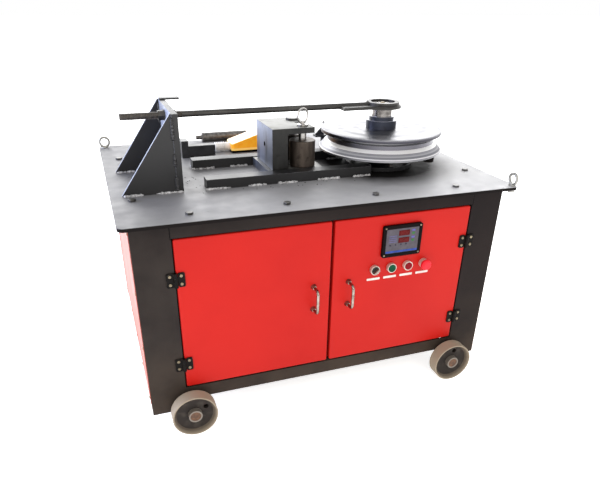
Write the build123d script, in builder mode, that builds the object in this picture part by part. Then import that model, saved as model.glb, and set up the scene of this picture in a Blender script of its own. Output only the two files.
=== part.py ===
from build123d import *
import os
from math import acos, cos, pi, radians, sin, tan

# All lengths are in millimetres. X runs along the front, Y to the back, Z up from the ground.

# Bench top
table_width = 1200.0
table_depth = 890.0
table_thickness = 10.0
table_height = 682.0
table_corner_radius = 18.0
table_edge_radius = 1.5

# Cabinet frame of angle iron
frame_side_inset = 27.0
frame_front_inset = 40.0
leg_face = 106.0
leg_return = 50.0
angle_thickness = 5.0
leg_ground_gap = 58.0
top_rail_drop = 46.0
rail_flange = 70.0
bottom_rail_height = 43.0
bottom_rail_ground_gap = 95.0
cross_bar_size = 40.0
cross_bar_wall = 4.0

# Sheet panels on the outside of the frame
panel_thickness = 2.0
panel_upright_margin = 10.0
panel_top_margin = 12.0

# Doors, folded pans hung flush with the front of the frame
door_gap = 4.0
door_meeting_gap = 9.0
door_depth = 20.0
door_sheet = 2.0
door_edge_radius = 3.0
door_corner_radius = 5.0
door_stop_width = 24.0
door_stop_thickness = 3.0
door_stop_gap = 1.0
door_post_width = 32.0

# Door hinges
hinge_centres_z = (226.0, 505.0)
hinge_leaf_width = 26.0
hinge_leaf_height = 43.0
hinge_leaf_thickness = 4.0
hinge_leaf_corner = 5.0
hinge_stand_off = 6.0
hinge_knuckle_radius = 5.5
hinge_knuckle_length = 14.0
hinge_pin_radius = 2.5
hinge_pin_fit = 0.06
hinge_knuckle_gap = 0.3
hinge_leaf_knuckle_gap = 1.0
hinge_link_back_gap = 0.5

# Door handles
handle_from_middle = 57.5
handle_centre_z = 381.5
handle_pitch = 77.0
handle_stand_off = 38.0
handle_wire_radius = 4.6
handle_bend_radius = 14.0
handle_base_radius = 9.5
handle_base_top_radius = 6.0
handle_base_height = 9.0

# Control unit and push buttons in the right door
controller_x = 226.0
controller_below_door_top = 83.0
controller_width = 132.0
controller_height = 102.0
controller_proud = 10.0
controller_corner = 6.0
controller_face_width = 112.0
controller_face_height = 80.0
controller_face_recess = 2.0
controller_box_width = 120.0
controller_box_height = 88.0
controller_box_depth = 62.0
controller_cutout_gap = 0.5
button_first_x = 142.0
button_pitch = 57.5
buttons_below_door_top = 172.5
button_count = 4
collar_radius = 15.0
collar_height = 12.0
collar_bore = 12.6
collar_floor = 1.5
barrel_radius = 11.0
barrel_hole_gap = 0.3
barrel_length = 14.0
contact_block_size = 28.0
contact_block_depth = 34.0
stem_radius = 6.0
stem_fit = 0.06
stem_length = 33.0
cap_radius = 12.3
cap_thickness = 4.0
cap_proud = 2.0
cap_edge_radius = 1.0
mushroom_radius = 17.0
mushroom_thickness = 12.0
mushroom_lift = 5.0
mushroom_neck_radius = 9.0
mushroom_edge_radius = 6.5
selector_lever_length = 21.0
selector_lever_width = 7.0
selector_lever_height = 12.0
selector_lever_edge_radius = 1.2
selector_lever_turn = 50.0

# Bolts that hold the bench top to the frame
bolt_radius = 6.0
bolt_hole_gap = 0.3
bolt_head_flats = 19.0
bolt_head_height = 6.0
bolt_nut_height = 10.0
bolt_middle_x = 137.0
bolt_end_inset = 163.0
bolt_front_inset = 20.0
bolt_side_y = 235.0
bolt_side_inset = 30.0

# Lifting eyes at two opposite corners, set in from the edges of the bench top
eye_rear_left_inset = (21.0, 25.0)
eye_front_right_inset = (14.0, 18.0)
eye_ring_radius = 16.5
eye_wire_radius = 4.5
eye_bore_radius = 12.8
eye_collar_radius = 11.0
eye_collar_height = 4.0

# Working line of the bend and the spindle on it
work_line_y = -62.5
spindle_from_edge = 295.0

# Anchor for the tie rod
anchor_from_edge = 191.0
anchor_plate_thickness = 18.0
anchor_plate_width = 268.0
anchor_height = 220.0
anchor_gusset_length = 156.0
anchor_gusset_thickness = 10.0
anchor_gusset_inset = 2.0
anchor_gusset_toe = 4.0
anchor_tab_length = 61.0
anchor_tab_width = 30.0
anchor_tab_thickness = 5.0

# Tie rod from the anchor to the top of the spindle
tie_rod_radius = 9.0
tie_rod_height = 194.5
tie_rod_overhang = 130.0
tie_rod_hole_gap = 0.5
tie_nut_flats = 26.0
tie_nut_length = 17.0
tie_lock_nut_length = 10.0
tie_washer_radius = 15.5
tie_washer_thickness = 3.5
tie_nut_gap = 0.2
strap_length = 157.0
strap_width = 84.0
strap_top_height = 195.0
strap_thickness = 9.0
strap_edge_break = 4.5
strap_flare_radius = 30.0
eye_end_plate_radius = 66.0
eye_end_plate_shift = 5.0
eye_end_radius = 55.0
eye_end_top_height = 204.0
tie_rod_in_eye = 10.0
eye_end_sink_radius = 40.0
eye_end_sink_depth = 7.0

# Spindle
spindle_top_height = 198.0
spindle_top_radius = 33.0
spindle_radius = 40.0
spindle_flange_radius = 110.0
spindle_flange_thickness = 12.0
spindle_bottom_z = 396.0
spindle_tail_radius = 6.0
spindle_tail_length = 24.0
shaft_fit = 0.05

# Bending die
die_radius = 206.0
die_bottom_height = 53.0
die_top_height = 120.0
die_rim_thickness = 6.0
die_lip_radius = 203.5
die_lip_height = 61.0
die_flange_radius = 190.5
die_flange_height = 75.0
die_band_radius = 179.0
die_band_height = 84.0
die_split_height = 97.0
die_neck_radius = 163.0
die_disc_radius = 202.0
die_disc_thickness = 10.5
die_edge_break = 1.2
die_stub_radius = 17.0
die_stub_length = 19.0
die_stub_from_axis = 183.0
die_stub_angle = -54.0
lower_collar_radius = 50.5
lower_collar_height = 26.0
upper_collar_radius = 41.0
upper_collar_height = 12.0

# Spindle bearing housing
housing_flange_radius = 115.0
housing_flange_thickness = 12.0
housing_radius = 72.0
housing_bottom_z = 480.0
housing_table_gap = 0.3
bearing_outer_radius = 55.0
bearing_width = 34.0
bearing_seat_gap = 0.05
housing_inner_radius = 47.0

# Gears, reducer and motor inside the cabinet
gear_module = 6.0
gear_teeth = 52
pinion_teeth = 17
pressure_angle = 20.0
tooth_addendum = 0.9
tooth_dedendum = 1.25
tooth_backlash = 0.5
gear_bottom_z = 410.0
gear_face = 40.0
gear_rim_inner_radius = 132.0
gear_hub_radius = 64.0
gear_web_recess = 12.0
gear_hole_radius = 18.0
gear_hole_count = 6
pinion_overhang = 2.0
pinion_shaft_radius = 20.0
pinion_shaft_depth = 40.0
pinion_shaft_overhang = 8.0
reducer_width = 190.0
reducer_depth = 170.0
reducer_bottom_z = 160.0
reducer_top_z = 380.0
reducer_edge_radius = 14.0
reducer_boss_radius = 45.0
reducer_boss_height = 18.0
reducer_foot_width = 240.0
reducer_foot_depth = 220.0
motor_axis_z = 270.0
motor_flange_radius = 98.0
motor_flange_thickness = 14.0
motor_body_radius = 72.0
motor_body_length = 220.0
motor_fin_count = 24
motor_fin_height = 10.0
motor_fin_thickness = 3.0
motor_fan_radius = 84.0
motor_fan_length = 62.0
terminal_box_size = 92.0
terminal_box_height = 46.0
electrical_box_depth = 80.0
electrical_box_y = (-250.0, 50.0)
electrical_box_z = (250.0, 560.0)
electrical_box_edge = 4.0
electrical_box_wall = 2.0
sensor_radius = 30.0
sensor_height = 44.0
sensor_gap = 10.0
sensor_post_radius = 12.0

# Guide rails and slide
rail_anchor_gap = 68.0
rail_spindle_gap = 93.0
rail_width = 42.0
rail_height = 30.0
rail_spacing = 185.0
slide_spindle_gap = 243.0
slide_length = 181.0
slide_thickness = 27.5
slide_gap = 0.5
block_spindle_gap = 272.0
block_length = 138.0
block_width = 172.0
block_column = 50.0
block_arm_bottom_height = 135.0
block_arm_top_height = 152.0
screw_hole_radius = 8.0
screw_hole_height = 91.0
screw_hole_depth = 40.0
arm_hole_radius = 9.0

# Rollers that hold the pipe against the die
roller_spindle_gap = 300.0
roller_from_line = 50.0
roller_radius = 41.0
roller_top_height = 109.0
roller_gap = 0.4
roller_edge_radius = 3.0
roller_pin_radius = 12.5
roller_pin_fit = 0.06
roller_pin_bottom_height = 6.0
pin_head_radius = 21.0
pin_head_height = 6.0
ring_pin_collar_radius = 17.5
ring_pin_collar_height = 4.0
ring_pin_boss_radius = 6.5
ring_pin_boss_height = 10.0
pull_ring_radius = 21.5
pull_ring_wire_radius = 3.0
pull_ring_turn = 25.0

# Stop bar and limit post on the bench, and the feed screw laid down behind
stop_block_x = (-331.0, -308.0)
stop_block_y = (185.0, 235.0)
stop_block_height = 58.0
stop_bar_right = -212.0
stop_bar_y = (193.0, 227.0)
stop_bar_height = (3.0, 38.0)
post_spindle_gap = 105.0
post_length = 55.0
post_y = (126.0, 156.0)
post_height = 62.0
post_plate_thickness = 6.0
post_stem_radius = 8.0
post_gusset_thickness = 6.0
post_gusset_height = 34.0
post_pin_radius = 4.0
post_pin_spindle_gap = 127.0
post_pin_top_height = 108.0
feed_screw_from_edge = 31.0
feed_screw_x = (-217.0, -40.0)
feed_screw_radius = 17.0
feed_screw_end_length = 23.0

# Foot switch
foot_x = (-148.0, 22.0)
foot_y = (205.0, 289.0)
foot_base_height = 8.0
foot_toe_height = 31.0
foot_mouth_height = 84.0
foot_wall = 4.0
foot_edge_radius = 10.0
foot_recess = 1.5
foot_recess_toe = 18.0
foot_recess_border = 8.0
foot_recess_base_border = 4.0
pedal_axis_x = 8.0
pedal_axis_height = 15.0
pedal_pin_radius = 2.5
pedal_barrel_radius = 5.0
pedal_toe_x = -108.0
pedal_thickness = 3.0
pedal_rise = 4.0
pedal_side_gap = 4.0
pedal_lug_width = 8.0
pedal_lug_gap = 0.3
pedal_pin_fit = 0.06
gland_nut_radius = 15.0
gland_nut_length = 16.0
gland_sleeve_radius = 13.5
gland_sleeve_end_radius = 12.5
gland_sleeve_length = 40.0
gland_bore = 5.0
gland_height = 17.0

# Wheels on two axles that run from front to back
wheel_from_side = 120.0
wheel_radius = 69.0
wheel_width = 42.0
wheel_edge_radius = 1.2
wheel_frame_gap = 18.0
wheel_rim_inner_radius = 65.5
wheel_rim_draft = 6.0
wheel_web_thickness = 12.0
wheel_hub_radius = 21.0
wheel_hole_radius = 8.0
wheel_hole_from_axis = 41.0
wheel_hole_turns = {"left": 30.0, "right": 78.0}
axle_radius = 12.5
axle_end_radius = 16.0
axle_shoulder = 5.0
axle_fit = 0.06
axle_end_inset = 1.0
lug_width = 52.0
lug_thickness = 12.0
lug_inset = 7.0
lug_hole_gap = 0.1

# Heights and faces that several pieces share
table_bottom = table_height - table_thickness
table_right = table_width / 2
table_rear = table_depth / 2
rear_y = table_rear - frame_front_inset
front_y = -rear_y
frame_right = table_right - frame_side_inset
eye_rear_left = (-table_right + eye_rear_left_inset[0], table_rear - eye_rear_left_inset[1])
eye_front_right = (table_right - eye_front_right_inset[0], -table_rear + eye_front_right_inset[1])
anchor_plate_x = -table_right + anchor_from_edge
spindle_x = table_right - spindle_from_edge
rail_left = anchor_plate_x + anchor_plate_thickness + rail_anchor_gap
rail_right = spindle_x - rail_spindle_gap
slide_right = spindle_x - slide_spindle_gap
slide_left = slide_right - slide_length
block_right = spindle_x - block_spindle_gap
block_left = block_right - block_length
roller_x = spindle_x - roller_spindle_gap
strap_left = spindle_x - strap_length
post_x = (spindle_x - post_spindle_gap - post_length, spindle_x - post_spindle_gap)
post_pin_x = spindle_x - post_pin_spindle_gap
tie_rod_left = anchor_plate_x - tie_rod_overhang
feed_screw_y = table_rear - feed_screw_from_edge
wheel_x = frame_right - wheel_from_side
wheel_inner_y = rear_y + wheel_frame_gap
wheel_outer_y = wheel_inner_y + wheel_width
leg_inner_x = frame_right - leg_face
door_top = table_bottom - top_rail_drop - door_gap
door_bottom = bottom_rail_ground_gap + bottom_rail_height + door_gap
controller_z = door_top - controller_below_door_top
button_z = door_top - buttons_below_door_top
door_hinge_edge = leg_inner_x - door_gap
door_free_edge = door_meeting_gap / 2
hinge_x = leg_inner_x - door_gap / 2
hinge_y = front_y - hinge_stand_off
die_bottom = table_height + die_bottom_height
die_top = table_height + die_top_height
spindle_top = table_height + spindle_top_height
tie_rod_z = table_height + tie_rod_height
slide_bottom = table_height + slide_gap
slide_top = slide_bottom + slide_thickness
block_arm_bottom = table_height + block_arm_bottom_height
block_arm_top = table_height + block_arm_top_height
anchor_top = table_height + anchor_height
cross_bar_top = bottom_rail_ground_gap + angle_thickness + cross_bar_size
gear_distance = gear_module * (gear_teeth + pinion_teeth) / 2
pinion_x = spindle_x - gear_distance
button_xs = [button_first_x + index * button_pitch for index in range(button_count)]
roller_front_y = work_line_y - roller_from_line
roller_rear_y = work_line_y + roller_from_line
tooth_pressure = radians(pressure_angle)

os.makedirs("parts", exist_ok=True)


def save(builder, name):
    """Label a finished piece and write it to its own file."""
    builder.part.label = name
    export_step(builder.part, f"parts/{name}.step")


def span(low, high):
    """Middle and length of a stretch."""
    return (low + high) / 2, high - low


def block(x_limits, y_limits, z_limits, mode=Mode.ADD):
    """Square-cornered block between the given limits."""
    middles_and_sizes = [span(*limits) for limits in (x_limits, y_limits, z_limits)]
    with Locations(tuple(middle for middle, size in middles_and_sizes)):
        Box(*(size for middle, size in middles_and_sizes), mode=mode)


def rod_x(y, z, radius, x_limits, mode=Mode.ADD):
    """Round bar along X."""
    middle, length = span(*x_limits)
    with Locations((middle, y, z)):
        Cylinder(radius, length, rotation=(0, 90, 0), mode=mode)


def rod_y(x, z, radius, y_limits, mode=Mode.ADD):
    """Round bar along Y."""
    middle, length = span(*y_limits)
    with Locations((x, middle, z)):
        Cylinder(radius, length, rotation=(90, 0, 0), mode=mode)


def rod_z(x, y, radius, z_limits, mode=Mode.ADD):
    """Round bar along Z."""
    middle, length = span(*z_limits)
    with Locations((x, y, middle)):
        Cylinder(radius, length, mode=mode)


def hexagon_z(x, y, flats, z_limits):
    """Upright hexagon bar, for bolt heads and nuts."""
    with BuildSketch(Plane.XY.offset(z_limits[0])) as outline:
        with Locations((x, y)):
            RegularPolygon(flats / 2, 6, major_radius=False)
    extrude(outline.sketch, amount=z_limits[1] - z_limits[0])


def hexagon_x(y, z, flats, x_limits):
    """Hexagon bar along X, for the nuts on the tie rod."""
    with BuildSketch(Plane.YZ.offset(x_limits[0])) as outline:
        with Locations((y, z)):
            RegularPolygon(flats / 2, 6, major_radius=False)
    extrude(outline.sketch, amount=x_limits[1] - x_limits[0])


def turned_z(x, y, outline_points):
    """Solid turned round an upright axis from its half outline of (radius, height) points."""
    face_plane = Plane(origin=(x, y, 0), x_dir=(1, 0, 0), z_dir=(0, -1, 0))
    with BuildSketch(face_plane) as half_outline:
        with BuildLine():
            Polyline(*outline_points, close=True)
        make_face()
    revolve(half_outline.sketch, axis=Axis((x, y, 0), (0, 0, 1)))


# Bench top
bolt_places = []
for sx in (-1, 1):
    for sy in (-1, 1):
        bolt_places.append((sx * (frame_right - bolt_side_inset), sy * bolt_side_y))
        for bolt_x in (bolt_middle_x, frame_right - bolt_end_inset):
            bolt_places.append((sx * bolt_x, sy * (rear_y - bolt_front_inset)))
eye_places = [eye_rear_left, eye_front_right]

with BuildPart() as table_top:
    with BuildSketch(Plane.XY.offset(table_bottom)):
        RectangleRounded(table_width, table_depth, table_corner_radius)
    extrude(amount=table_thickness)
    fillet(table_top.faces().sort_by(Axis.Z)[-1].edges(), table_edge_radius)
    for place_x, place_y in bolt_places + eye_places:
        rod_z(place_x, place_y, bolt_radius + bolt_hole_gap, (table_bottom, table_height), Mode.SUBTRACT)
    housing_hole_radius = housing_radius + housing_table_gap
    rod_z(spindle_x, work_line_y, housing_hole_radius, (table_bottom, table_height), Mode.SUBTRACT)
save(table_top, "table_top")


# Corner legs of angle iron, in pairs; the front ones carry the angles that the doors close against
def door_stop(side):
    """Small angle behind the hinge edge of a door, welded to the back of the leg."""
    leg_back = front_y + angle_thickness
    stop_face = front_y + door_depth + door_stop_gap
    stop_back = stop_face + door_stop_thickness
    stop_z = (bottom_rail_ground_gap + angle_thickness, table_bottom - top_rail_drop)
    web_x = sorted((side * leg_inner_x, side * (leg_inner_x + door_stop_thickness)))
    lip_x = sorted((side * (leg_inner_x + door_stop_thickness - door_stop_width), side * leg_inner_x))
    block(web_x, (leg_back, stop_back), stop_z)
    block(lip_x, (stop_face, stop_back), stop_z)


for pair_name, sy in (("front_legs", -1), ("rear_legs", 1)):
    with BuildPart() as legs:
        leg_z = (leg_ground_gap, table_bottom)
        face_y = sorted((sy * rear_y, sy * (rear_y - angle_thickness)))
        return_y = sorted((sy * rear_y, sy * (rear_y - leg_return)))
        for sx in (-1, 1):
            face_x = sorted((sx * frame_right, sx * leg_inner_x))
            return_x = sorted((sx * frame_right, sx * (frame_right - angle_thickness)))
            block(face_x, face_y, leg_z)
            block(return_x, return_y, leg_z)
            if sy < 0:
                door_stop(sx)
    save(legs, pair_name)

# Angle rails between the legs, with the flat flange at the top or at the bottom
side_rail_y = rear_y - leg_return


def angle_rails(web_z, flange_z):
    """Front, rear and side rails of one level."""
    for sign in (-1, 1):
        rail_y = sorted((sign * rear_y, sign * (rear_y - angle_thickness)))
        flange_y = sorted((sign * rear_y, sign * (rear_y - rail_flange)))
        block((-leg_inner_x, leg_inner_x), rail_y, web_z)
        block((-leg_inner_x, leg_inner_x), flange_y, flange_z)
        rail_x = sorted((sign * frame_right, sign * (frame_right - angle_thickness)))
        flange_x = sorted((sign * frame_right, sign * (frame_right - rail_flange)))
        block(rail_x, (-side_rail_y, side_rail_y), web_z)
        block(flange_x, (-side_rail_y, side_rail_y), flange_z)


top_flange_z = (table_bottom - angle_thickness, table_bottom)
with BuildPart() as top_rails:
    angle_rails((table_bottom - top_rail_drop, table_bottom), top_flange_z)
    for place_x, place_y in bolt_places:
        rod_z(place_x, place_y, bolt_radius + bolt_hole_gap, top_flange_z, Mode.SUBTRACT)
save(top_rails, "top_rails")

bottom_rail_top = bottom_rail_ground_gap + bottom_rail_height
bottom_flange_z = (bottom_rail_ground_gap, bottom_rail_ground_gap + angle_thickness)
with BuildPart() as bottom_rails:
    angle_rails((bottom_rail_ground_gap, bottom_rail_top), bottom_flange_z)
save(bottom_rails, "bottom_rails")

# Square tubes across the floor that carry the drive and the angle sensor
cross_bar_inset = (reducer_foot_width - cross_bar_size) / 2
cross_bar_xs = (pinion_x - cross_bar_inset, pinion_x + cross_bar_inset, spindle_x)
with BuildPart() as cross_bars:
    bar_y = (front_y + angle_thickness, rear_y - angle_thickness)
    for bar_x in cross_bar_xs:
        half = cross_bar_size / 2
        inner = half - cross_bar_wall
        middle_z = cross_bar_top - half
        block((bar_x - half, bar_x + half), bar_y, (middle_z - half, middle_z + half))
        block((bar_x - inner, bar_x + inner), bar_y, (middle_z - inner, middle_z + inner), Mode.SUBTRACT)
save(cross_bars, "cross_bars")

# Upright strip behind the gap between the doors, from a cross bar to the top rail
with BuildPart() as door_post:
    post_face = front_y + door_depth + door_stop_gap
    door_post_x = (-door_post_width / 2, door_post_width / 2)
    block(door_post_x, (post_face, post_face + door_stop_thickness), (cross_bar_top, top_flange_z[0]))
save(door_post, "door_post")

# Sheet panels at the sides and the back
panel_z = (bottom_rail_ground_gap, table_bottom - panel_top_margin)
with BuildPart() as side_panels:
    panel_y = rear_y - panel_upright_margin
    block((frame_right, frame_right + panel_thickness), (-panel_y, panel_y), panel_z)
    block((-frame_right - panel_thickness, -frame_right), (-panel_y, panel_y), panel_z)
save(side_panels, "side_panels")

with BuildPart() as rear_panel:
    panel_x = frame_right - panel_upright_margin
    block((-panel_x, panel_x), (rear_y, rear_y + panel_thickness), panel_z)
save(rear_panel, "rear_panel")

# Bolts through the bench top and the rail flange, with nuts below
with BuildPart() as table_bolts:
    nut_top = table_bottom - angle_thickness
    for place_x, place_y in bolt_places:
        hexagon_z(place_x, place_y, bolt_head_flats, (table_height, table_height + bolt_head_height))
        rod_z(place_x, place_y, bolt_radius, (nut_top - bolt_nut_height, table_height))
        hexagon_z(place_x, place_y, bolt_head_flats, (nut_top - bolt_nut_height, nut_top))
save(table_bolts, "table_bolts")

# Lifting eyes: a ring with a straight bore on a collar, bolted through the bench top
with BuildPart() as eye_bolts:
    ring_z = table_height + eye_collar_height + eye_ring_radius
    for (place_x, place_y), ring_turn in ((eye_rear_left, (90, 0, 0)), (eye_front_right, (0, 90, 0))):
        rod_z(place_x, place_y, eye_collar_radius, (table_height, table_height + eye_collar_height))
        rod_z(place_x, place_y, bolt_radius, (table_bottom - bolt_nut_height, table_height))
        hexagon_z(place_x, place_y, bolt_head_flats, (table_bottom - bolt_nut_height, table_bottom))
        with Locations((place_x, place_y, ring_z)):
            Torus(eye_ring_radius, eye_wire_radius, rotation=ring_turn)
            Cylinder(eye_bore_radius, 2 * eye_collar_radius, rotation=ring_turn, mode=Mode.SUBTRACT)
save(eye_bolts, "eye_bolts")

# Anchor: a thick upright plate, two gussets behind it and a small tab on its top
plate_x = (anchor_plate_x, anchor_plate_x + anchor_plate_thickness)
plate_y = (work_line_y - anchor_plate_width / 2, work_line_y + anchor_plate_width / 2)
with BuildPart() as anchor_plate:
    block(plate_x, plate_y, (table_height, anchor_top))
    rod_x(work_line_y, tie_rod_z, tie_rod_radius + tie_rod_hole_gap, plate_x, Mode.SUBTRACT)
    tab_x = (plate_x[0], plate_x[0] + anchor_tab_length)
    tab_y = (plate_y[1] - anchor_tab_width, plate_y[1])
    block(tab_x, tab_y, (anchor_top, anchor_top + anchor_tab_thickness))
save(anchor_plate, "anchor_plate")

with BuildPart() as anchor_gussets:
    gusset_toe_x = anchor_plate_x - anchor_gusset_length
    near_y = plate_y[0] + anchor_gusset_inset
    far_y = plate_y[1] - anchor_gusset_inset - anchor_gusset_thickness
    for gusset_y in (near_y, far_y):
        with BuildSketch(Plane.XZ.offset(-gusset_y)):
            with BuildLine():
                Polyline(
                    (gusset_toe_x, table_height),
                    (anchor_plate_x, table_height),
                    (anchor_plate_x, anchor_top),
                    (anchor_plate_x - anchor_gusset_toe, anchor_top),
                    (gusset_toe_x, table_height + anchor_gusset_toe),
                    close=True,
                )
            make_face()
        extrude(amount=-anchor_gusset_thickness)
save(anchor_gussets, "anchor_gussets")

# Tie rod: a round bar on a flat strap that flares into a plate, with a ring on it round the spindle top
with BuildPart() as tie_rod:
    strap_bottom = table_height + strap_top_height - strap_thickness
    eye_top = table_height + eye_end_top_height
    with BuildSketch(Plane.XY.offset(strap_bottom)) as strap_outline:
        with Locations((spindle_x - eye_end_plate_shift, work_line_y)):
            Circle(eye_end_plate_radius)
        with Locations((strap_left + strap_length / 2, work_line_y)):
            Rectangle(strap_length, strap_width)
        flare_corners = strap_outline.vertices().sort_by(Axis.X)[2:4]
        fillet(flare_corners, strap_flare_radius)
    extrude(amount=strap_thickness)
    chamfer(tie_rod.faces().sort_by(Axis.Z)[-1].edges(), strap_edge_break)
    rod_z(spindle_x, work_line_y, eye_end_radius, (strap_bottom, eye_top))
    tie_rod_right = spindle_x - eye_end_radius + tie_rod_in_eye
    rod_x(work_line_y, tie_rod_z, tie_rod_radius, (tie_rod_left, tie_rod_right))
    rod_z(spindle_x, work_line_y, spindle_top_radius + shaft_fit, (strap_bottom, eye_top), Mode.SUBTRACT)
    rod_z(spindle_x, work_line_y, eye_end_sink_radius, (eye_top - eye_end_sink_depth, eye_top), Mode.SUBTRACT)
save(tie_rod, "tie_rod")

with BuildPart() as tie_rod_nuts:
    left_washer_x = anchor_plate_x - tie_washer_thickness
    right_washer_x = plate_x[1] + tie_washer_thickness
    rod_x(work_line_y, tie_rod_z, tie_washer_radius, (left_washer_x, anchor_plate_x))
    hexagon_x(work_line_y, tie_rod_z, tie_nut_flats, (left_washer_x - tie_nut_length, left_washer_x))
    rod_x(work_line_y, tie_rod_z, tie_washer_radius, (plate_x[1], right_washer_x))
    hexagon_x(work_line_y, tie_rod_z, tie_nut_flats, (right_washer_x, right_washer_x + tie_lock_nut_length))
    nuts_x = (left_washer_x - tie_nut_length, right_washer_x + tie_lock_nut_length)
    rod_x(work_line_y, tie_rod_z, tie_rod_radius + tie_nut_gap, nuts_x, Mode.SUBTRACT)
save(tie_rod_nuts, "tie_rod_nuts")

# Spindle: stub for the tie eye, seat for the die, carrying flange and long lower shaft
with BuildPart() as main_spindle:
    flange_bottom = die_bottom - spindle_flange_thickness
    turned_z(
        spindle_x,
        work_line_y,
        [
            (0, spindle_bottom_z - spindle_tail_length),
            (spindle_tail_radius, spindle_bottom_z - spindle_tail_length),
            (spindle_tail_radius, spindle_bottom_z),
            (spindle_radius, spindle_bottom_z),
            (spindle_radius, flange_bottom),
            (spindle_flange_radius, flange_bottom),
            (spindle_flange_radius, die_bottom),
            (spindle_radius, die_bottom),
            (spindle_radius, die_top),
            (spindle_top_radius, die_top),
            (spindle_top_radius, spindle_top),
            (0, spindle_top),
        ],
    )
save(main_spindle, "main_spindle")

# Bending die: a stepped lower half whose band bears the pipe, and a flat disc on a neck over it
die_bore = spindle_radius + shaft_fit
die_split_z = table_height + die_split_height
die_disc_bottom = die_top - die_disc_thickness
die_profiles = {
    "die_lower_half": [
        (die_bore, die_bottom),
        (die_radius, die_bottom),
        (die_radius, die_bottom + die_rim_thickness),
        (die_lip_radius, table_height + die_lip_height),
        (die_flange_radius, table_height + die_flange_height),
        (die_band_radius, table_height + die_band_height),
        (die_band_radius, die_split_z),
        (die_bore, die_split_z),
    ],
    "die_upper_half": [
        (die_bore, die_split_z),
        (die_neck_radius, die_split_z),
        (die_neck_radius, die_disc_bottom),
        (die_disc_radius, die_disc_bottom),
        (die_disc_radius, die_top - die_edge_break),
        (die_disc_radius - die_edge_break, die_top),
        (die_bore, die_top),
    ],
}
for half_name, profile in die_profiles.items():
    with BuildPart() as die_half:
        turned_z(spindle_x, work_line_y, profile)
    save(die_half, half_name)

with BuildPart() as clamp_stub:
    stub_x = spindle_x + die_stub_from_axis * cos(radians(die_stub_angle))
    stub_y = work_line_y + die_stub_from_axis * sin(radians(die_stub_angle))
    rod_z(stub_x, stub_y, die_stub_radius, (die_bottom - die_stub_length, die_bottom))
save(clamp_stub, "clamp_stub")

# Stepped clamping collar on the spindle above the die
with BuildPart() as spindle_collar:
    lower_collar_top = die_top + lower_collar_height
    upper_collar_top = lower_collar_top + upper_collar_height
    rod_z(spindle_x, work_line_y, lower_collar_radius, (die_top, lower_collar_top))
    rod_z(spindle_x, work_line_y, upper_collar_radius, (lower_collar_top, upper_collar_top))
    rod_z(spindle_x, work_line_y, spindle_top_radius + shaft_fit, (die_top, upper_collar_top), Mode.SUBTRACT)
save(spindle_collar, "spindle_collar")

# Bearing housing hung through the bench top, and its two bearings
housing_top = table_height + housing_flange_thickness
bearing_zs = (
    (housing_bottom_z, housing_bottom_z + bearing_width),
    (housing_top - bearing_width, housing_top),
)
with BuildPart() as spindle_housing:
    rod_z(spindle_x, work_line_y, housing_radius, (housing_bottom_z, housing_top))
    rod_z(spindle_x, work_line_y, housing_flange_radius, (table_height, housing_top))
    rod_z(spindle_x, work_line_y, housing_inner_radius, (housing_bottom_z, housing_top), Mode.SUBTRACT)
    for bearing_z in bearing_zs:
        rod_z(spindle_x, work_line_y, bearing_outer_radius, bearing_z, Mode.SUBTRACT)
save(spindle_housing, "spindle_housing")

with BuildPart() as spindle_bearings:
    for bearing_z in bearing_zs:
        rod_z(spindle_x, work_line_y, bearing_outer_radius - bearing_seat_gap, bearing_z)
        rod_z(spindle_x, work_line_y, spindle_radius + shaft_fit, bearing_z, Mode.SUBTRACT)
save(spindle_bearings, "spindle_bearings")


# Spur gears with involute flanks
def toothed_disc(teeth, x, y, z_limits, first_tooth):
    """Spur gear blank; first_tooth is the angle in radians of one tooth's middle."""
    pitch_radius = gear_module * teeth / 2
    base_radius = pitch_radius * cos(tooth_pressure)
    tip_radius = pitch_radius + tooth_addendum * gear_module
    root_radius = pitch_radius - tooth_dedendum * gear_module
    flank_start = max(base_radius, root_radius)

    def half_angle(radius):
        slope = acos(min(1, base_radius / radius))
        at_pitch = pi / (2 * teeth) - tooth_backlash / (2 * pitch_radius)
        return at_pitch + tan(tooth_pressure) - tooth_pressure - tan(slope) + slope

    def point(radius, angle):
        return radius * cos(angle), radius * sin(angle)

    with BuildSketch(Plane(origin=(x, y, z_limits[0]))) as outline:
        with BuildLine():
            for index in range(teeth):
                middle = first_tooth + 2 * pi * index / teeth
                next_middle = middle + 2 * pi / teeth
                start_half = half_angle(flank_start)
                pitch_half = half_angle(pitch_radius)
                tip_half = half_angle(tip_radius)
                rise = [point(flank_start, middle - start_half), point(pitch_radius, middle - pitch_half)]
                fall = [point(pitch_radius, middle + pitch_half), point(flank_start, middle + start_half)]
                tip_first = point(tip_radius, middle - tip_half)
                tip_last = point(tip_radius, middle + tip_half)
                ThreePointArc(*rise, tip_first)
                Line(tip_first, tip_last)
                ThreePointArc(tip_last, *fall)
                next_start = point(flank_start, next_middle - start_half)
                root_first = point(root_radius, middle + start_half)
                root_last = point(root_radius, next_middle - start_half)
                if flank_start > root_radius:
                    Polyline(fall[1], root_first, root_last, next_start)
                else:
                    Line(root_first, root_last)
        make_face()
    extrude(outline.sketch, amount=z_limits[1] - z_limits[0])


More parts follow.
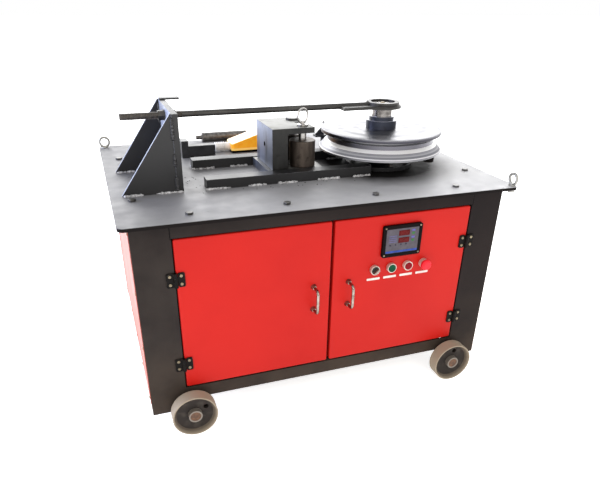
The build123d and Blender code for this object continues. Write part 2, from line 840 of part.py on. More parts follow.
gear_z = (gear_bottom_z, gear_bottom_z + gear_face)
with BuildPart() as drive_gear:
    toothed_disc(gear_teeth, spindle_x, work_line_y, gear_z, 0)
    for recess_z in ((gear_z[0], gear_z[0] + gear_web_recess), (gear_z[1] - gear_web_recess, gear_z[1])):
        with BuildSketch(Plane(origin=(spindle_x, work_line_y, recess_z[0]))):
            Circle(gear_rim_inner_radius)
            Circle(gear_hub_radius, mode=Mode.SUBTRACT)
        extrude(amount=gear_web_recess, mode=Mode.SUBTRACT)
    with Locations((spindle_x, work_line_y, sum(gear_z) / 2)):
        with PolarLocations((gear_rim_inner_radius + gear_hub_radius) / 2, gear_hole_count):
            Cylinder(gear_hole_radius, gear_face, mode=Mode.SUBTRACT)
    rod_z(spindle_x, work_line_y, spindle_radius + shaft_fit, gear_z, Mode.SUBTRACT)
save(drive_gear, "drive_gear")

reducer_boss_top = reducer_top_z + reducer_boss_height
pinion_shaft_bottom = reducer_boss_top - pinion_shaft_depth
with BuildPart() as drive_pinion:
    pinion_z = (gear_z[0] - pinion_overhang, gear_z[1] + pinion_overhang)
    toothed_disc(pinion_teeth, pinion_x, work_line_y, pinion_z, pi / pinion_teeth)
    pinion_shaft_z = (pinion_shaft_bottom, pinion_z[1] + pinion_shaft_overhang)
    rod_z(pinion_x, work_line_y, pinion_shaft_radius, pinion_shaft_z)
save(drive_pinion, "drive_pinion")

# Right-angle reducer on its foot, with an upright output bore
reducer_x = (pinion_x - reducer_width / 2, pinion_x + reducer_width / 2)
reducer_y = (work_line_y - reducer_depth / 2, work_line_y + reducer_depth / 2)
with BuildPart() as gear_reducer:
    block(reducer_x, reducer_y, (reducer_bottom_z, reducer_top_z))
    fillet(gear_reducer.edges().filter_by(Axis.Z), reducer_edge_radius)
    foot_half_x = reducer_foot_width / 2
    foot_half_y = reducer_foot_depth / 2
    reducer_foot_x = (pinion_x - foot_half_x, pinion_x + foot_half_x)
    reducer_foot_y = (work_line_y - foot_half_y, work_line_y + foot_half_y)
    block(reducer_foot_x, reducer_foot_y, (cross_bar_top, reducer_bottom_z))
    rod_z(pinion_x, work_line_y, reducer_boss_radius, (reducer_top_z, reducer_boss_top))
    output_bore_z = (pinion_shaft_bottom, reducer_boss_top)
    rod_z(pinion_x, work_line_y, pinion_shaft_radius + shaft_fit, output_bore_z, Mode.SUBTRACT)
save(gear_reducer, "gear_reducer")

# Finned motor lying on the reducer's left side
with BuildPart() as drive_motor:
    flange_x = (reducer_x[0] - motor_flange_thickness, reducer_x[0])
    body_x = (flange_x[0] - motor_body_length, flange_x[0])
    fan_x = (body_x[0] - motor_fan_length, body_x[0])
    rod_x(work_line_y, motor_axis_z, motor_flange_radius, flange_x)
    rod_x(work_line_y, motor_axis_z, motor_body_radius, body_x)
    rod_x(work_line_y, motor_axis_z, motor_fan_radius, fan_x)
    fin_middle = (sum(body_x) / 2, work_line_y, motor_axis_z)
    with Locations(Plane(origin=fin_middle, x_dir=(0, 1, 0), z_dir=(1, 0, 0))):
        with PolarLocations(motor_body_radius, motor_fin_count):
            Box(2 * motor_fin_height, motor_fin_thickness, motor_body_length)
    terminal_half = terminal_box_size / 2
    terminal_x = (fin_middle[0] - terminal_half, fin_middle[0] + terminal_half)
    terminal_y = (work_line_y - terminal_half, work_line_y + terminal_half)
    terminal_top = motor_axis_z + motor_body_radius + terminal_box_height
    block(terminal_x, terminal_y, (motor_axis_z + motor_body_radius / 2, terminal_top))
save(drive_motor, "drive_motor")

# Electrical box on the inside of the right panel
with BuildPart() as electrical_box:
    box_front = frame_right - electrical_box_depth
    block((box_front, frame_right), electrical_box_y, electrical_box_z)
    fillet(electrical_box.edges().filter_by(Axis.X), electrical_box_edge)
    inner_y = (electrical_box_y[0] + electrical_box_wall, electrical_box_y[1] - electrical_box_wall)
    inner_z = (electrical_box_z[0] + electrical_box_wall, electrical_box_z[1] - electrical_box_wall)
    block((box_front + electrical_box_wall, frame_right), inner_y, inner_z, Mode.SUBTRACT)
save(electrical_box, "electrical_box")

# Angle sensor under the spindle tail, on a post from the floor bar
with BuildPart() as angle_sensor:
    sensor_top = spindle_bottom_z - sensor_gap
    sensor_bottom = sensor_top - sensor_height
    rod_z(spindle_x, work_line_y, sensor_radius, (sensor_bottom, sensor_top))
    rod_z(spindle_x, work_line_y, sensor_post_radius, (cross_bar_top, sensor_bottom))
    tail_hole_z = (spindle_bottom_z - spindle_tail_length - sensor_gap, sensor_top)
    rod_z(spindle_x, work_line_y, spindle_tail_radius + shaft_fit, tail_hole_z, Mode.SUBTRACT)
save(angle_sensor, "angle_sensor")

# Guide rails welded to the bench top
rail_near_y = work_line_y - rail_spacing / 2 - rail_width
rail_far_y = work_line_y + rail_spacing / 2
rail_z = (table_height, table_height + rail_height)
with BuildPart() as guide_rails:
    for rail_y in (rail_near_y, rail_far_y):
        block((rail_left, rail_right), (rail_y, rail_y + rail_width), rail_z)
save(guide_rails, "guide_rails")

# Slide plate between the rails, with holes for the roller pins
slide_half = rail_spacing / 2 - slide_gap
pin_hole_radius = roller_pin_radius + roller_pin_fit
roller_pin_bottom = table_height + roller_pin_bottom_height
with BuildPart() as slide_plate:
    slide_y = (work_line_y - slide_half, work_line_y + slide_half)
    block((slide_left, slide_right), slide_y, (slide_bottom, slide_top))
    for pin_y in (roller_front_y, roller_rear_y):
        rod_z(roller_x, pin_y, pin_hole_radius, (roller_pin_bottom, slide_top), Mode.SUBTRACT)
save(slide_plate, "slide_plate")

# Guide block: a column on the slide plate with an arm over the rollers
with BuildPart() as guide_block:
    block_y = (work_line_y - block_width / 2, work_line_y + block_width / 2)
    block((block_left, block_left + block_column), block_y, (slide_top, block_arm_bottom))
    arm_z = (block_arm_bottom, block_arm_top)
    block((block_left, block_right), block_y, arm_z)
    for pin_y in (roller_front_y, roller_rear_y):
        rod_z(roller_x, pin_y, pin_hole_radius, arm_z, Mode.SUBTRACT)
    rod_z(roller_x, work_line_y, arm_hole_radius, arm_z, Mode.SUBTRACT)
    screw_hole_x = (block_left, block_left + screw_hole_depth)
    rod_x(work_line_y, table_height + screw_hole_height, screw_hole_radius, screw_hole_x, Mode.SUBTRACT)
save(guide_block, "guide_block")

# Rollers turn freely on their pins
for roller_name, roller_y in (("front_roller", roller_front_y), ("rear_roller", roller_rear_y)):
    with BuildPart() as roller:
        roller_z = (slide_top + roller_gap, table_height + roller_top_height)
        rod_z(roller_x, roller_y, roller_radius, roller_z)
        fillet(roller.edges(), roller_edge_radius)
        rod_z(roller_x, roller_y, pin_hole_radius, roller_z, Mode.SUBTRACT)
    save(roller, roller_name)

with BuildPart() as rear_roller_pin:
    rod_z(roller_x, roller_rear_y, roller_pin_radius, (roller_pin_bottom, block_arm_top))
    rod_z(roller_x, roller_rear_y, pin_head_radius, (block_arm_top, block_arm_top + pin_head_height))
save(rear_roller_pin, "rear_roller_pin")

# Quick-release pin of the front roller, with its pull ring
with BuildPart() as ring_pin:
    collar_top = block_arm_top + ring_pin_collar_height
    boss_top = collar_top + ring_pin_boss_height
    rod_z(roller_x, roller_front_y, roller_pin_radius, (roller_pin_bottom, collar_top))
    rod_z(roller_x, roller_front_y, ring_pin_collar_radius, (block_arm_top, collar_top))
    rod_z(roller_x, roller_front_y, ring_pin_boss_radius, (collar_top, boss_top))
    ring_middle_z = collar_top + pull_ring_wire_radius + pull_ring_radius
    with Locations(Location((roller_x, roller_front_y, ring_middle_z), (0, 0, pull_ring_turn))):
        Torus(pull_ring_radius, pull_ring_wire_radius, rotation=(90, 0, 0))
save(ring_pin, "ring_pin")

# Stop bar with its end block, and a small limit post behind the die
with BuildPart() as table_stops:
    block(stop_block_x, stop_block_y, (table_height, table_height + stop_block_height))
    stop_bar_z = [table_height + height for height in stop_bar_height]
    block((stop_block_x[1], stop_bar_right), stop_bar_y, stop_bar_z)
    post_top = table_height + post_height
    post_plate_bottom = post_top - post_plate_thickness
    block(post_x, post_y, (post_plate_bottom, post_top))
    rod_z(post_pin_x, sum(post_y) / 2, post_stem_radius, (table_height, post_plate_bottom))
    gusset_start_y = sum(post_y) / 2 - post_gusset_thickness / 2
    with BuildSketch(Plane.XZ.offset(-gusset_start_y)):
        with BuildLine():
            Polyline(
                (post_x[0], post_top),
                (post_pin_x, post_top),
                (post_pin_x, post_top + post_gusset_height),
                close=True,
            )
        make_face()
    extrude(amount=-post_gusset_thickness)
    rod_z(post_pin_x, sum(post_y) / 2, post_pin_radius, (post_top, table_height + post_pin_top_height))
save(table_stops, "table_stops")

# Feed screw laid down at the back of the bench
with BuildPart() as feed_screw:
    screw_z = table_height + feed_screw_radius
    rod_x(feed_screw_y, screw_z, feed_screw_radius, feed_screw_x)
    screw_end_x = (feed_screw_x[0] - feed_screw_end_length, feed_screw_x[0])
    rod_x(feed_screw_y, screw_z, screw_hole_radius, screw_end_x)
save(feed_screw, "feed_screw")

# Foot switch: base with pivot lugs, toe-cap hood, cord gland and pedal
foot_base_top = table_height + foot_base_height
pedal_axis_z = table_height + pedal_axis_height
foot_inner_y = (foot_y[0] + foot_wall, foot_y[1] - foot_wall)
pedal_margin = pedal_side_gap + pedal_lug_width
pedal_y = (foot_inner_y[0] + pedal_margin, foot_inner_y[1] - pedal_margin)
lug_y_pairs = (
    (pedal_y[0] - pedal_lug_width, pedal_y[0] - pedal_lug_gap),
    (pedal_y[1] + pedal_lug_gap, pedal_y[1] + pedal_lug_width),
)
with BuildPart() as foot_switch_base:
    block(foot_x, foot_y, (table_height, foot_base_top))
    for lug_y in lug_y_pairs:
        lug_x = (pedal_axis_x - pedal_barrel_radius, pedal_axis_x + pedal_barrel_radius)
        block(lug_x, lug_y, (foot_base_top, pedal_axis_z))
        rod_y(pedal_axis_x, pedal_axis_z, pedal_barrel_radius, lug_y)
    rod_y(pedal_axis_x, pedal_axis_z, pedal_pin_radius, (lug_y_pairs[0][0], lug_y_pairs[1][1]))
save(foot_switch_base, "foot_switch_base")


def roof_height(x):
    """Height of the sloping hood roof at a place along it."""
    share = (x - foot_x[0]) / (foot_x[1] - foot_x[0])
    return table_height + foot_toe_height + share * (foot_mouth_height - foot_toe_height)


def hood_outline(toe_x, mouth_x, bottom_z, below_roof):
    """Side outline of the hood or of a recess under its roof."""
    return [
        (toe_x, bottom_z),
        (mouth_x, bottom_z),
        (mouth_x, roof_height(mouth_x) - below_roof),
        (toe_x, roof_height(toe_x) - below_roof),
    ]


with BuildPart() as foot_switch_hood:
    with BuildSketch(Plane.XZ.offset(-foot_y[0])):
        with BuildLine():
            Polyline(*hood_outline(*foot_x, foot_base_top, 0), close=True)
        make_face()
    extrude(amount=-(foot_y[1] - foot_y[0]))
    toe_edges = foot_switch_hood.faces().sort_by(Axis.X)[0].edges().filter_by(Axis.Z)
    fillet(toe_edges, foot_edge_radius)
    with BuildSketch(Plane.XZ.offset(-foot_inner_y[0])):
        with BuildLine():
            Polyline(*hood_outline(foot_x[0] + foot_wall, foot_x[1], foot_base_top, foot_wall), close=True)
        make_face()
    extrude(amount=-(foot_inner_y[1] - foot_inner_y[0]), mode=Mode.SUBTRACT)
    recess_x = (foot_x[0] + foot_recess_toe, foot_x[1] - foot_recess_border)
    recess_bottom = foot_base_top + foot_recess_base_border
    for face_y, depth in ((foot_y[0], -foot_recess), (foot_y[1], foot_recess)):
        with BuildSketch(Plane.XZ.offset(-face_y)):
            with BuildLine():
                Polyline(*hood_outline(*recess_x, recess_bottom, foot_recess_border), close=True)
            make_face()
        extrude(amount=depth, mode=Mode.SUBTRACT)
save(foot_switch_hood, "foot_switch_hood")

with BuildPart() as foot_switch_gland:
    gland_y = sum(foot_y) / 2
    gland_z = table_height + gland_height
    gland_nut_x = (foot_x[0] - gland_nut_length, foot_x[0])
    gland_end_x = gland_nut_x[0] - gland_sleeve_length
    rod_x(gland_y, gland_z, gland_nut_radius, gland_nut_x)
    with Locations((gland_nut_x[0] - gland_sleeve_length / 2, gland_y, gland_z)):
        Cone(gland_sleeve_end_radius, gland_sleeve_radius, gland_sleeve_length, rotation=(0, 90, 0))
    rod_x(gland_y, gland_z, gland_bore, (gland_end_x, foot_x[0]), Mode.SUBTRACT)
save(foot_switch_gland, "foot_switch_gland")

with BuildPart() as foot_pedal:
    pedal_tilt = radians(pedal_rise)
    pedal_length = pedal_axis_x - pedal_toe_x
    pedal_plane = Plane(
        origin=(pedal_axis_x, pedal_y[0], pedal_axis_z),
        x_dir=(-cos(pedal_tilt), 0, sin(pedal_tilt)),
        z_dir=(0, 1, 0),
    )
    with BuildSketch(pedal_plane):
        Rectangle(pedal_length, pedal_thickness, align=(Align.MIN, Align.MIN))
    extrude(amount=pedal_y[1] - pedal_y[0])
    rod_y(pedal_axis_x, pedal_axis_z, pedal_barrel_radius, pedal_y)
    rod_y(pedal_axis_x, pedal_axis_z, pedal_pin_radius + pedal_pin_fit, pedal_y, Mode.SUBTRACT)
save(foot_pedal, "foot_pedal")


# Doors
def door_pan(x_limits):
    """Folded sheet pan, open at the back, with its front edges rounded."""
    with BuildPart() as pan:
        block(x_limits, (front_y, front_y + door_depth), (door_bottom, door_top))
        fillet(pan.edges().filter_by(Axis.Y), door_corner_radius)
        fillet(pan.faces().sort_by(Axis.Y)[0].edges(), door_edge_radius)
        hollow_x = (x_limits[0] + door_sheet, x_limits[1] - door_sheet)
        hollow_z = (door_bottom + door_sheet, door_top - door_sheet)
        hollow_y = (front_y + door_sheet, front_y + door_depth)
        with BuildSketch(Plane.XZ.offset(-hollow_y[1])):
            middle_x, hollow_width = span(*hollow_x)
            middle_z, hollow_height = span(*hollow_z)
            with Locations((middle_x, middle_z)):
                RectangleRounded(hollow_width, hollow_height, door_corner_radius - door_sheet)
        extrude(amount=hollow_y[1] - hollow_y[0], mode=Mode.SUBTRACT)
    return pan


left_door = door_pan((-door_hinge_edge, -door_free_edge))
save(left_door, "left_door")

right_pan = door_pan((door_free_edge, door_hinge_edge))
with BuildPart() as right_door:
    add(right_pan.part)
    sheet_y = (front_y, front_y + door_sheet)
    cutout_half_x = controller_box_width / 2 + controller_cutout_gap
    cutout_half_z = controller_box_height / 2 + controller_cutout_gap
    cutout_x = (controller_x - cutout_half_x, controller_x + cutout_half_x)
    cutout_z = (controller_z - cutout_half_z, controller_z + cutout_half_z)
    block(cutout_x, sheet_y, cutout_z, Mode.SUBTRACT)
    for button_x in button_xs:
        rod_y(button_x, button_z, barrel_radius + barrel_hole_gap, sheet_y, Mode.SUBTRACT)
save(right_door, "right_door")

# Bow handles: two cups and a bent wire
for handle_name, handle_x in (("left_handle", -handle_from_middle), ("right_handle", handle_from_middle)):
    with BuildPart() as handle:
        low_z = handle_centre_z - handle_pitch / 2
        high_z = handle_centre_z + handle_pitch / 2
        bow_y = front_y - handle_stand_off
        with BuildLine():
            bow = FilletPolyline(
                (handle_x, front_y, low_z),
                (handle_x, bow_y, low_z),
                (handle_x, bow_y, high_z),
                (handle_x, front_y, high_z),
                radius=handle_bend_radius,
            )
        with BuildSketch(Plane(origin=(handle_x, front_y, low_z), z_dir=(0, -1, 0))):
            Circle(handle_wire_radius)
        sweep(path=bow)
        for base_z in (low_z, high_z):
            with Locations((handle_x, front_y - handle_base_height / 2, base_z)):
                Cone(handle_base_radius, handle_base_top_radius, handle_base_height, rotation=(90, 0, 0))
    save(handle, handle_name)

# Hinge leaves: the frame leaf carries the pin and the outer knuckles, the door leaf the middle one
knuckle_half = hinge_leaf_height / 2
door_knuckle_half = knuckle_half - hinge_knuckle_length - hinge_knuckle_gap


def hinge_leaf(axis_x, side, centre_z, knuckle_spans):
    """Flat leaf on the front face with knuckles; side is the direction the leaf points in X."""
    leaf_start = axis_x + side * (hinge_knuckle_radius + hinge_leaf_knuckle_gap)
    leaf_end = axis_x + side * hinge_leaf_width
    middle_x, leaf_length = span(*sorted((leaf_start, leaf_end)))
    with BuildSketch(Plane.XZ.offset(-front_y)) as leaf_outline:
        with Locations((middle_x, centre_z)):
            RectangleRounded(leaf_length, hinge_leaf_height, hinge_leaf_corner)
    extrude(leaf_outline.sketch, amount=hinge_leaf_thickness)
    for low, high in knuckle_spans:
        knuckle_z = (centre_z + low, centre_z + high)
        link_x = sorted((axis_x, leaf_start + side * hinge_leaf_corner))
        link_y = (front_y - hinge_leaf_thickness, front_y - hinge_link_back_gap)
        block(link_x, link_y, knuckle_z)
        rod_z(axis_x, hinge_y, hinge_knuckle_radius, knuckle_z)


outer_knuckles = (
    (-knuckle_half, -knuckle_half + hinge_knuckle_length),
    (knuckle_half - hinge_knuckle_length, knuckle_half),
)
with BuildPart() as frame_hinge_leaves:
    for side in (-1, 1):
        for centre_z in hinge_centres_z:
            hinge_leaf(side * hinge_x, side, centre_z, outer_knuckles)
            pin_z = (centre_z - knuckle_half, centre_z + knuckle_half)
            rod_z(side * hinge_x, hinge_y, hinge_pin_radius, pin_z)
save(frame_hinge_leaves, "frame_hinge_leaves")

for leaves_name, side in (("left_hinge_leaves", -1), ("right_hinge_leaves", 1)):
    with BuildPart() as door_hinge_leaves:
        for centre_z in hinge_centres_z:
            hinge_leaf(side * hinge_x, -side, centre_z, ((-door_knuckle_half, door_knuckle_half),))
            bore_z = (centre_z - knuckle_half, centre_z + knuckle_half)
            rod_z(side * hinge_x, hinge_y, hinge_pin_radius + hinge_pin_fit, bore_z, Mode.SUBTRACT)
    save(door_hinge_leaves, leaves_name)

# Control unit: bezel with a sunk face in front of the door, box behind it
with BuildPart() as controller:
    with BuildSketch(Plane.XZ.offset(-front_y)):
        with Locations((controller_x, controller_z)):
            RectangleRounded(controller_width, controller_height, controller_corner)
    extrude(amount=controller_proud)
    face_half_x = controller_face_width / 2
    face_half_z = controller_face_height / 2
    recess_y = (front_y - controller_proud, front_y - controller_proud + controller_face_recess)
    face_x = (controller_x - face_half_x, controller_x + face_half_x)
    face_z = (controller_z - face_half_z, controller_z + face_half_z)
    block(face_x, recess_y, face_z, Mode.SUBTRACT)
    box_half_x = controller_box_width / 2
    box_half_z = controller_box_height / 2
    box_x = (controller_x - box_half_x, controller_x + box_half_x)
    box_z = (controller_z - box_half_z, controller_z + box_half_z)
    block(box_x, (front_y, front_y + controller_box_depth), box_z)
save(controller, "controller")

# Button collars with their barrels and contact blocks behind the door
collar_front = front_y - collar_height
collar_floor_y = front_y - collar_floor
with BuildPart() as button_collars:
    block_back = front_y + barrel_length + contact_block_depth
    block_half = contact_block_size / 2
    for button_x in button_xs:
        rod_y(button_x, button_z, collar_radius, (collar_front, front_y))
        rod_y(button_x, button_z, barrel_radius, (front_y, front_y + barrel_length))
        block_x = (button_x - block_half, button_x + block_half)
        block_z = (button_z - block_half, button_z + block_half)
        block(block_x, (front_y + barrel_length, block_back), block_z)
        rod_y(button_x, button_z, collar_bore, (collar_front, collar_floor_y), Mode.SUBTRACT)
        rod_y(button_x, button_z, stem_radius + stem_fit, (collar_floor_y, block_back), Mode.SUBTRACT)
save(button_collars, "button_collars")

cap_front = collar_front - cap_proud
cap_back = cap_front + cap_thickness
stem_y = (cap_back, cap_back + stem_length)
for button_name, button_x in (("start_button", button_xs[1]), ("stop_button", button_xs[2])):
    with BuildPart() as push_button:
        rod_y(button_x, button_z, cap_radius, (cap_front, cap_back))
        fillet(push_button.faces().sort_by(Axis.Y)[0].edges(), cap_edge_radius)
        rod_y(button_x, button_z, stem_radius, stem_y)
    save(push_button, button_name)

with BuildPart() as selector_knob:
    rod_y(button_xs[0], button_z, cap_radius, (cap_front, cap_back))
    with BuildSketch(Plane.XZ.offset(-cap_front)):
        with Locations((button_xs[0], button_z)):
            Rectangle(selector_lever_width, selector_lever_length, rotation=-selector_lever_turn)
    extrude(amount=selector_lever_height)
    fillet(selector_knob.faces().sort_by(Axis.Y)[0].edges(), selector_lever_edge_radius)
    rod_y(button_xs[0], button_z, stem_radius, stem_y)
save(selector_knob, "selector_knob")

with BuildPart() as emergency_button:
    head_back = collar_front - mushroom_lift
    head_front = head_back - mushroom_thickness
    rod_y(button_xs[3], button_z, mushroom_radius, (head_front, head_back))
    fillet(emergency_button.faces().sort_by(Axis.Y)[0].edges(), mushroom_edge_radius)
    rod_y(button_xs[3], button_z, mushroom_neck_radius, (head_back, collar_front))
    rod_y(button_xs[3], button_z, stem_radius, (collar_front, collar_front + stem_length))
save(emergency_button, "emergency_button")

# Axles under the bottom rails, their lugs and the four wheels
with BuildPart() as wheel_axles:
    for sx in (-1, 1):
        axle_end = wheel_outer_y - axle_end_inset
        seat_start = wheel_inner_y - axle_shoulder
        rod_y(sx * wheel_x, wheel_radius, axle_radius, (-seat_start, seat_start))
        for sy in (-1, 1):
            rod_y(sx * wheel_x, wheel_radius, axle_end_radius, sorted((sy * seat_start, sy * axle_end)))
save(wheel_axles, "wheel_axles")

with BuildPart() as axle_lugs:
    for sx in (-1, 1):
        for sy in (-1, 1):
            lug_x = (sx * wheel_x - lug_width / 2, sx * wheel_x + lug_width / 2)
            lug_outer_y = sy * (rear_y - lug_inset)
            lug_y = sorted((lug_outer_y, lug_outer_y - sy * lug_thickness))
            block(lug_x, lug_y, (wheel_radius, bottom_rail_ground_gap))
            rod_y(sx * wheel_x, wheel_radius, lug_width / 2, lug_y)
            rod_y(sx * wheel_x, wheel_radius, axle_radius + lug_hole_gap, lug_y, Mode.SUBTRACT)
save(axle_lugs, "axle_lugs")

# Each wheel is a cast rim with drafted inner faces, a web with one round hole and a hub
wheel_bore = axle_end_radius + axle_fit
wheel_half = wheel_width / 2
web_half = wheel_web_thickness / 2
rim_root = wheel_rim_inner_radius - wheel_rim_draft
half_section = [
    (wheel_bore, wheel_half),
    (wheel_hub_radius, wheel_half),
    (wheel_hub_radius, web_half),
    (rim_root, web_half),
    (wheel_rim_inner_radius, wheel_half),
    (wheel_radius - wheel_edge_radius, wheel_half),
    (wheel_radius, wheel_half - wheel_edge_radius),
]
whole_section = half_section + [(radius, -offset) for radius, offset in reversed(half_section)]
for side_name, sx in (("left", -1), ("right", 1)):
    for end_name, sy in (("front", -1), ("rear", 1)):
        with BuildPart() as wheel:
            wheel_middle = (sx * wheel_x, sy * (wheel_inner_y + wheel_half), wheel_radius)
            with BuildSketch(Plane(origin=wheel_middle, x_dir=(1, 0, 0), z_dir=(0, 0, 1))):
                with BuildLine():
                    Polyline(*whole_section, close=True)
                make_face()
            revolve(axis=Axis(wheel_middle, (0, 1, 0)))
            hole_angle = radians(wheel_hole_turns[side_name])
            hole_x = wheel_middle[0] + wheel_hole_from_axis * cos(hole_angle)
            hole_z = wheel_radius + wheel_hole_from_axis * sin(hole_angle)
            web_y = (wheel_middle[1] - web_half, wheel_middle[1] + web_half)
            rod_y(hole_x, hole_z, wheel_hole_radius, web_y, Mode.SUBTRACT)
        save(wheel, f"wheel_{end_name}_{side_name}")
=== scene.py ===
"""Looks of the pipe bending machine: a finish for every solid, and the small pieces fixed to them."""
from math import cos, pi, radians, sin, tau
from random import Random

import bmesh
import bpy
from mathutils import Euler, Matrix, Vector


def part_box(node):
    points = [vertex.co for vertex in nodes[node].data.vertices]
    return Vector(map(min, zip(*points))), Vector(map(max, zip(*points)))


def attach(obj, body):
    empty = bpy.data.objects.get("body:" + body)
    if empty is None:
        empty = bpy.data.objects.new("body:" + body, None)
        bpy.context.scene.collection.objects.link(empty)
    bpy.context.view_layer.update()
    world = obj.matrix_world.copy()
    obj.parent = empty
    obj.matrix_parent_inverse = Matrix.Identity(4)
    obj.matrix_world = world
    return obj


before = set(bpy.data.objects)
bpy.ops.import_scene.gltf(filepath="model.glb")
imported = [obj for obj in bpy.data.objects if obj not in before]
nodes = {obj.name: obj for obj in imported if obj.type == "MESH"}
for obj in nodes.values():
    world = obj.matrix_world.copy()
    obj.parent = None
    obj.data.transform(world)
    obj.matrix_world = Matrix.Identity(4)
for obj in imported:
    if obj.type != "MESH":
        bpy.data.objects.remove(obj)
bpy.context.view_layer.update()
low = {name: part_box(name)[0] for name in nodes}
high = {name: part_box(name)[1] for name in nodes}
middle = {name: (low[name] + high[name]) / 2 for name in nodes}

MM = 0.001
FRONT_TURN = (pi / 2, 0.0, 0.0)
REAR_TURN = (-pi / 2, 0.0, 0.0)
LEFT_TURN = (0.0, -pi / 2, 0.0)
RIGHT_TURN = (0.0, pi / 2, 0.0)
UP_TURN = (0.0, 0.0, 0.0)
DOWN_TURN = (pi, 0.0, 0.0)

# Sizes of the solids that the small pieces sit on, in metres
hinge_leaf_height = 43 * MM
hinge_leaf_thickness = 4 * MM
controller_face_sunk = 2 * MM
tie_rod_radius = 9 * MM
rail_width = 42 * MM
gusset_thickness = 10 * MM
plate_thickness = 18 * MM
reducer_foot_z = 160 * MM
motor_axis_z = 270 * MM
motor_flange_thickness = 14 * MM
feed_screw_end_length = 23 * MM


# Small tools for nodes

def linear(hex_colour):
    """An sRGB hex colour as linear red, green, blue and alpha."""
    shares = [int(hex_colour[at:at + 2], 16) / 255 for at in (1, 3, 5)]
    return [s / 12.92 if s <= 0.04045 else ((s + 0.055) / 1.055) ** 2.4 for s in shares] + [1.0]


def per_metre(size):
    """The texture scale that gives a pattern of that size in millimetres."""
    return 1 / (size * MM)


def add(tree, kind, inputs=None, out=None, ramp=None, **settings):
    """Add a node with its settings and inputs, which are values, hex colours or outputs; gives an output."""
    node = tree.nodes.new(kind)
    for name, value in settings.items():
        setattr(node, name, value)
    for name, value in (inputs or {}).items():
        found = [s for s in node.inputs if s.enabled and s.name == name]
        socket = node.inputs[name] if isinstance(name, int) else found[0]
        if isinstance(value, bpy.types.NodeSocket):
            tree.links.new(value, socket)
        else:
            socket.default_value = linear(value) if isinstance(value, str) else value
    if ramp:
        stops = node.color_ramp.elements
        for stop, (place, colour) in zip((stops[0], stops[1]), (ramp[0], ramp[-1])):
            stop.position = place
            stop.color = linear(colour)
        for place, colour in ramp[1:-1]:
            stops.new(place).color = linear(colour)
    shown = [s for s in node.outputs if s.enabled and s.name == (out or s.name)]
    return shown[0] if shown else None


def new_finish(name):
    """An empty material, its node tree and its Object coordinates."""
    material = bpy.data.materials.new(name)
    material.use_nodes = True
    tree = material.node_tree
    tree.nodes.clear()
    return material, tree, add(tree, "ShaderNodeTexCoord", out="Object")


def roughness_from(tree, pattern, smooth, dull):
    """Roughness that follows a pattern, from smooth where it is low to dull where it is high."""
    ends = {"Value": pattern, "From Min": 0.3, "From Max": 0.7, "To Min": smooth, "To Max": dull}
    return add(tree, "ShaderNodeMapRange", ends)


def close_finish(material, sockets, gloss=None, relief=None):
    """End a material in one shader.

    gloss is a pattern and the two roughnesses that it runs between, and relief is a pattern, its strength and
    its depth in millimetres.
    """
    tree = material.node_tree
    if gloss:
        sockets["Roughness"] = roughness_from(tree, *gloss)
    if relief:
        pattern, strength, depth = relief
        bump = {"Strength": strength, "Distance": depth * MM, "Height": pattern, "Normal": sockets["Normal"]}
        sockets["Normal"] = add(tree, "ShaderNodeBump", bump)
    shader = add(tree, "ShaderNodeBsdfPrincipled", sockets)
    add(tree, "ShaderNodeOutputMaterial", {"Surface": shader})
    return material


def patches(tree, place, size, detail, roughness=0.5):
    """A noise with patches of that size in millimetres, or of three sizes along X, Y and Z."""
    sizes = size if isinstance(size, tuple) else (size, size, size)
    drawn = add(tree, "ShaderNodeMapping", {"Vector": place, "Scale": [per_metre(s) for s in sizes]})
    noise = {"Vector": drawn, "Scale": 1.0, "Detail": detail, "Roughness": roughness}
    return add(tree, "ShaderNodeTexNoise", noise)


def toned_patches(tree, place, size, detail, *tones, roughness=0.5):
    """Patches and their colour; each tone is a stop along the noise and a hex colour."""
    noise = patches(tree, place, size, detail, roughness)
    return noise, add(tree, "ShaderNodeValToRGB", {"Fac": noise}, ramp=tones)


def eased_edges(tree, reach):
    """The normal with its edges rounded over that many millimetres, and a mask that is 1 on those edges."""
    rounded = add(tree, "ShaderNodeBevel", {"Radius": reach * MM}, samples=6)
    flat = add(tree, "ShaderNodeNewGeometry", out="Normal")
    along = add(tree, "ShaderNodeVectorMath", {0: rounded, 1: flat}, out="Value", operation="DOT_PRODUCT")
    mask = add(tree, "ShaderNodeMapRange", {"Value": along, "From Min": 0.99, "From Max": 0.8})
    return rounded, mask


def facing(tree, axis):
    """How far each face looks along an axis, from -1 to 1."""
    normal = add(tree, "ShaderNodeNewGeometry", out="Normal")
    return add(tree, "ShaderNodeSeparateXYZ", {"Vector": normal}, out=axis)


def radius_across(tree, centred, across):
    """Distance from an axis through the origin; across is 1 in the two directions that count and else 0."""
    flat = add(tree, "ShaderNodeVectorMath", {0: centred, 1: across}, operation="MULTIPLY")
    return add(tree, "ShaderNodeVectorMath", {0: flat}, out="Value", operation="LENGTH")


def lay(tree, colour, tone, *masks):
    """Lay a tone over a colour where every mask shows.

    A mask is an output, or an output with the two values that it rises between and, where below 1, its top.
    """
    shown = None
    for mask in masks:
        if isinstance(mask, tuple):
            value, start, end, *top = mask
            rise = {"Value": value, "From Min": start, "From Max": end, "To Max": top[0] if top else 1.0}
            mask = add(tree, "ShaderNodeMapRange", rise)
        shown = add(tree, "ShaderNodeMath", {0: shown, 1: mask}, operation="MULTIPLY") if shown else mask
    return add(tree, "ShaderNodeMix", {"Factor": shown, "A": colour, "B": tone}, data_type="RGBA")


def paint_light_on_faces(tree, colour, faces, uneven):
    """Paint light on faces by the way they look: each is an axis, the side of it that they look to, and the
    colour of the painted light.
    """
    for axis, side, tone in faces:
        colour = lay(tree, colour, tone, (facing(tree, axis), 0.5 * side, 0.9 * side), (uneven, 0.2, 0.5))
    return colour


# Finishes

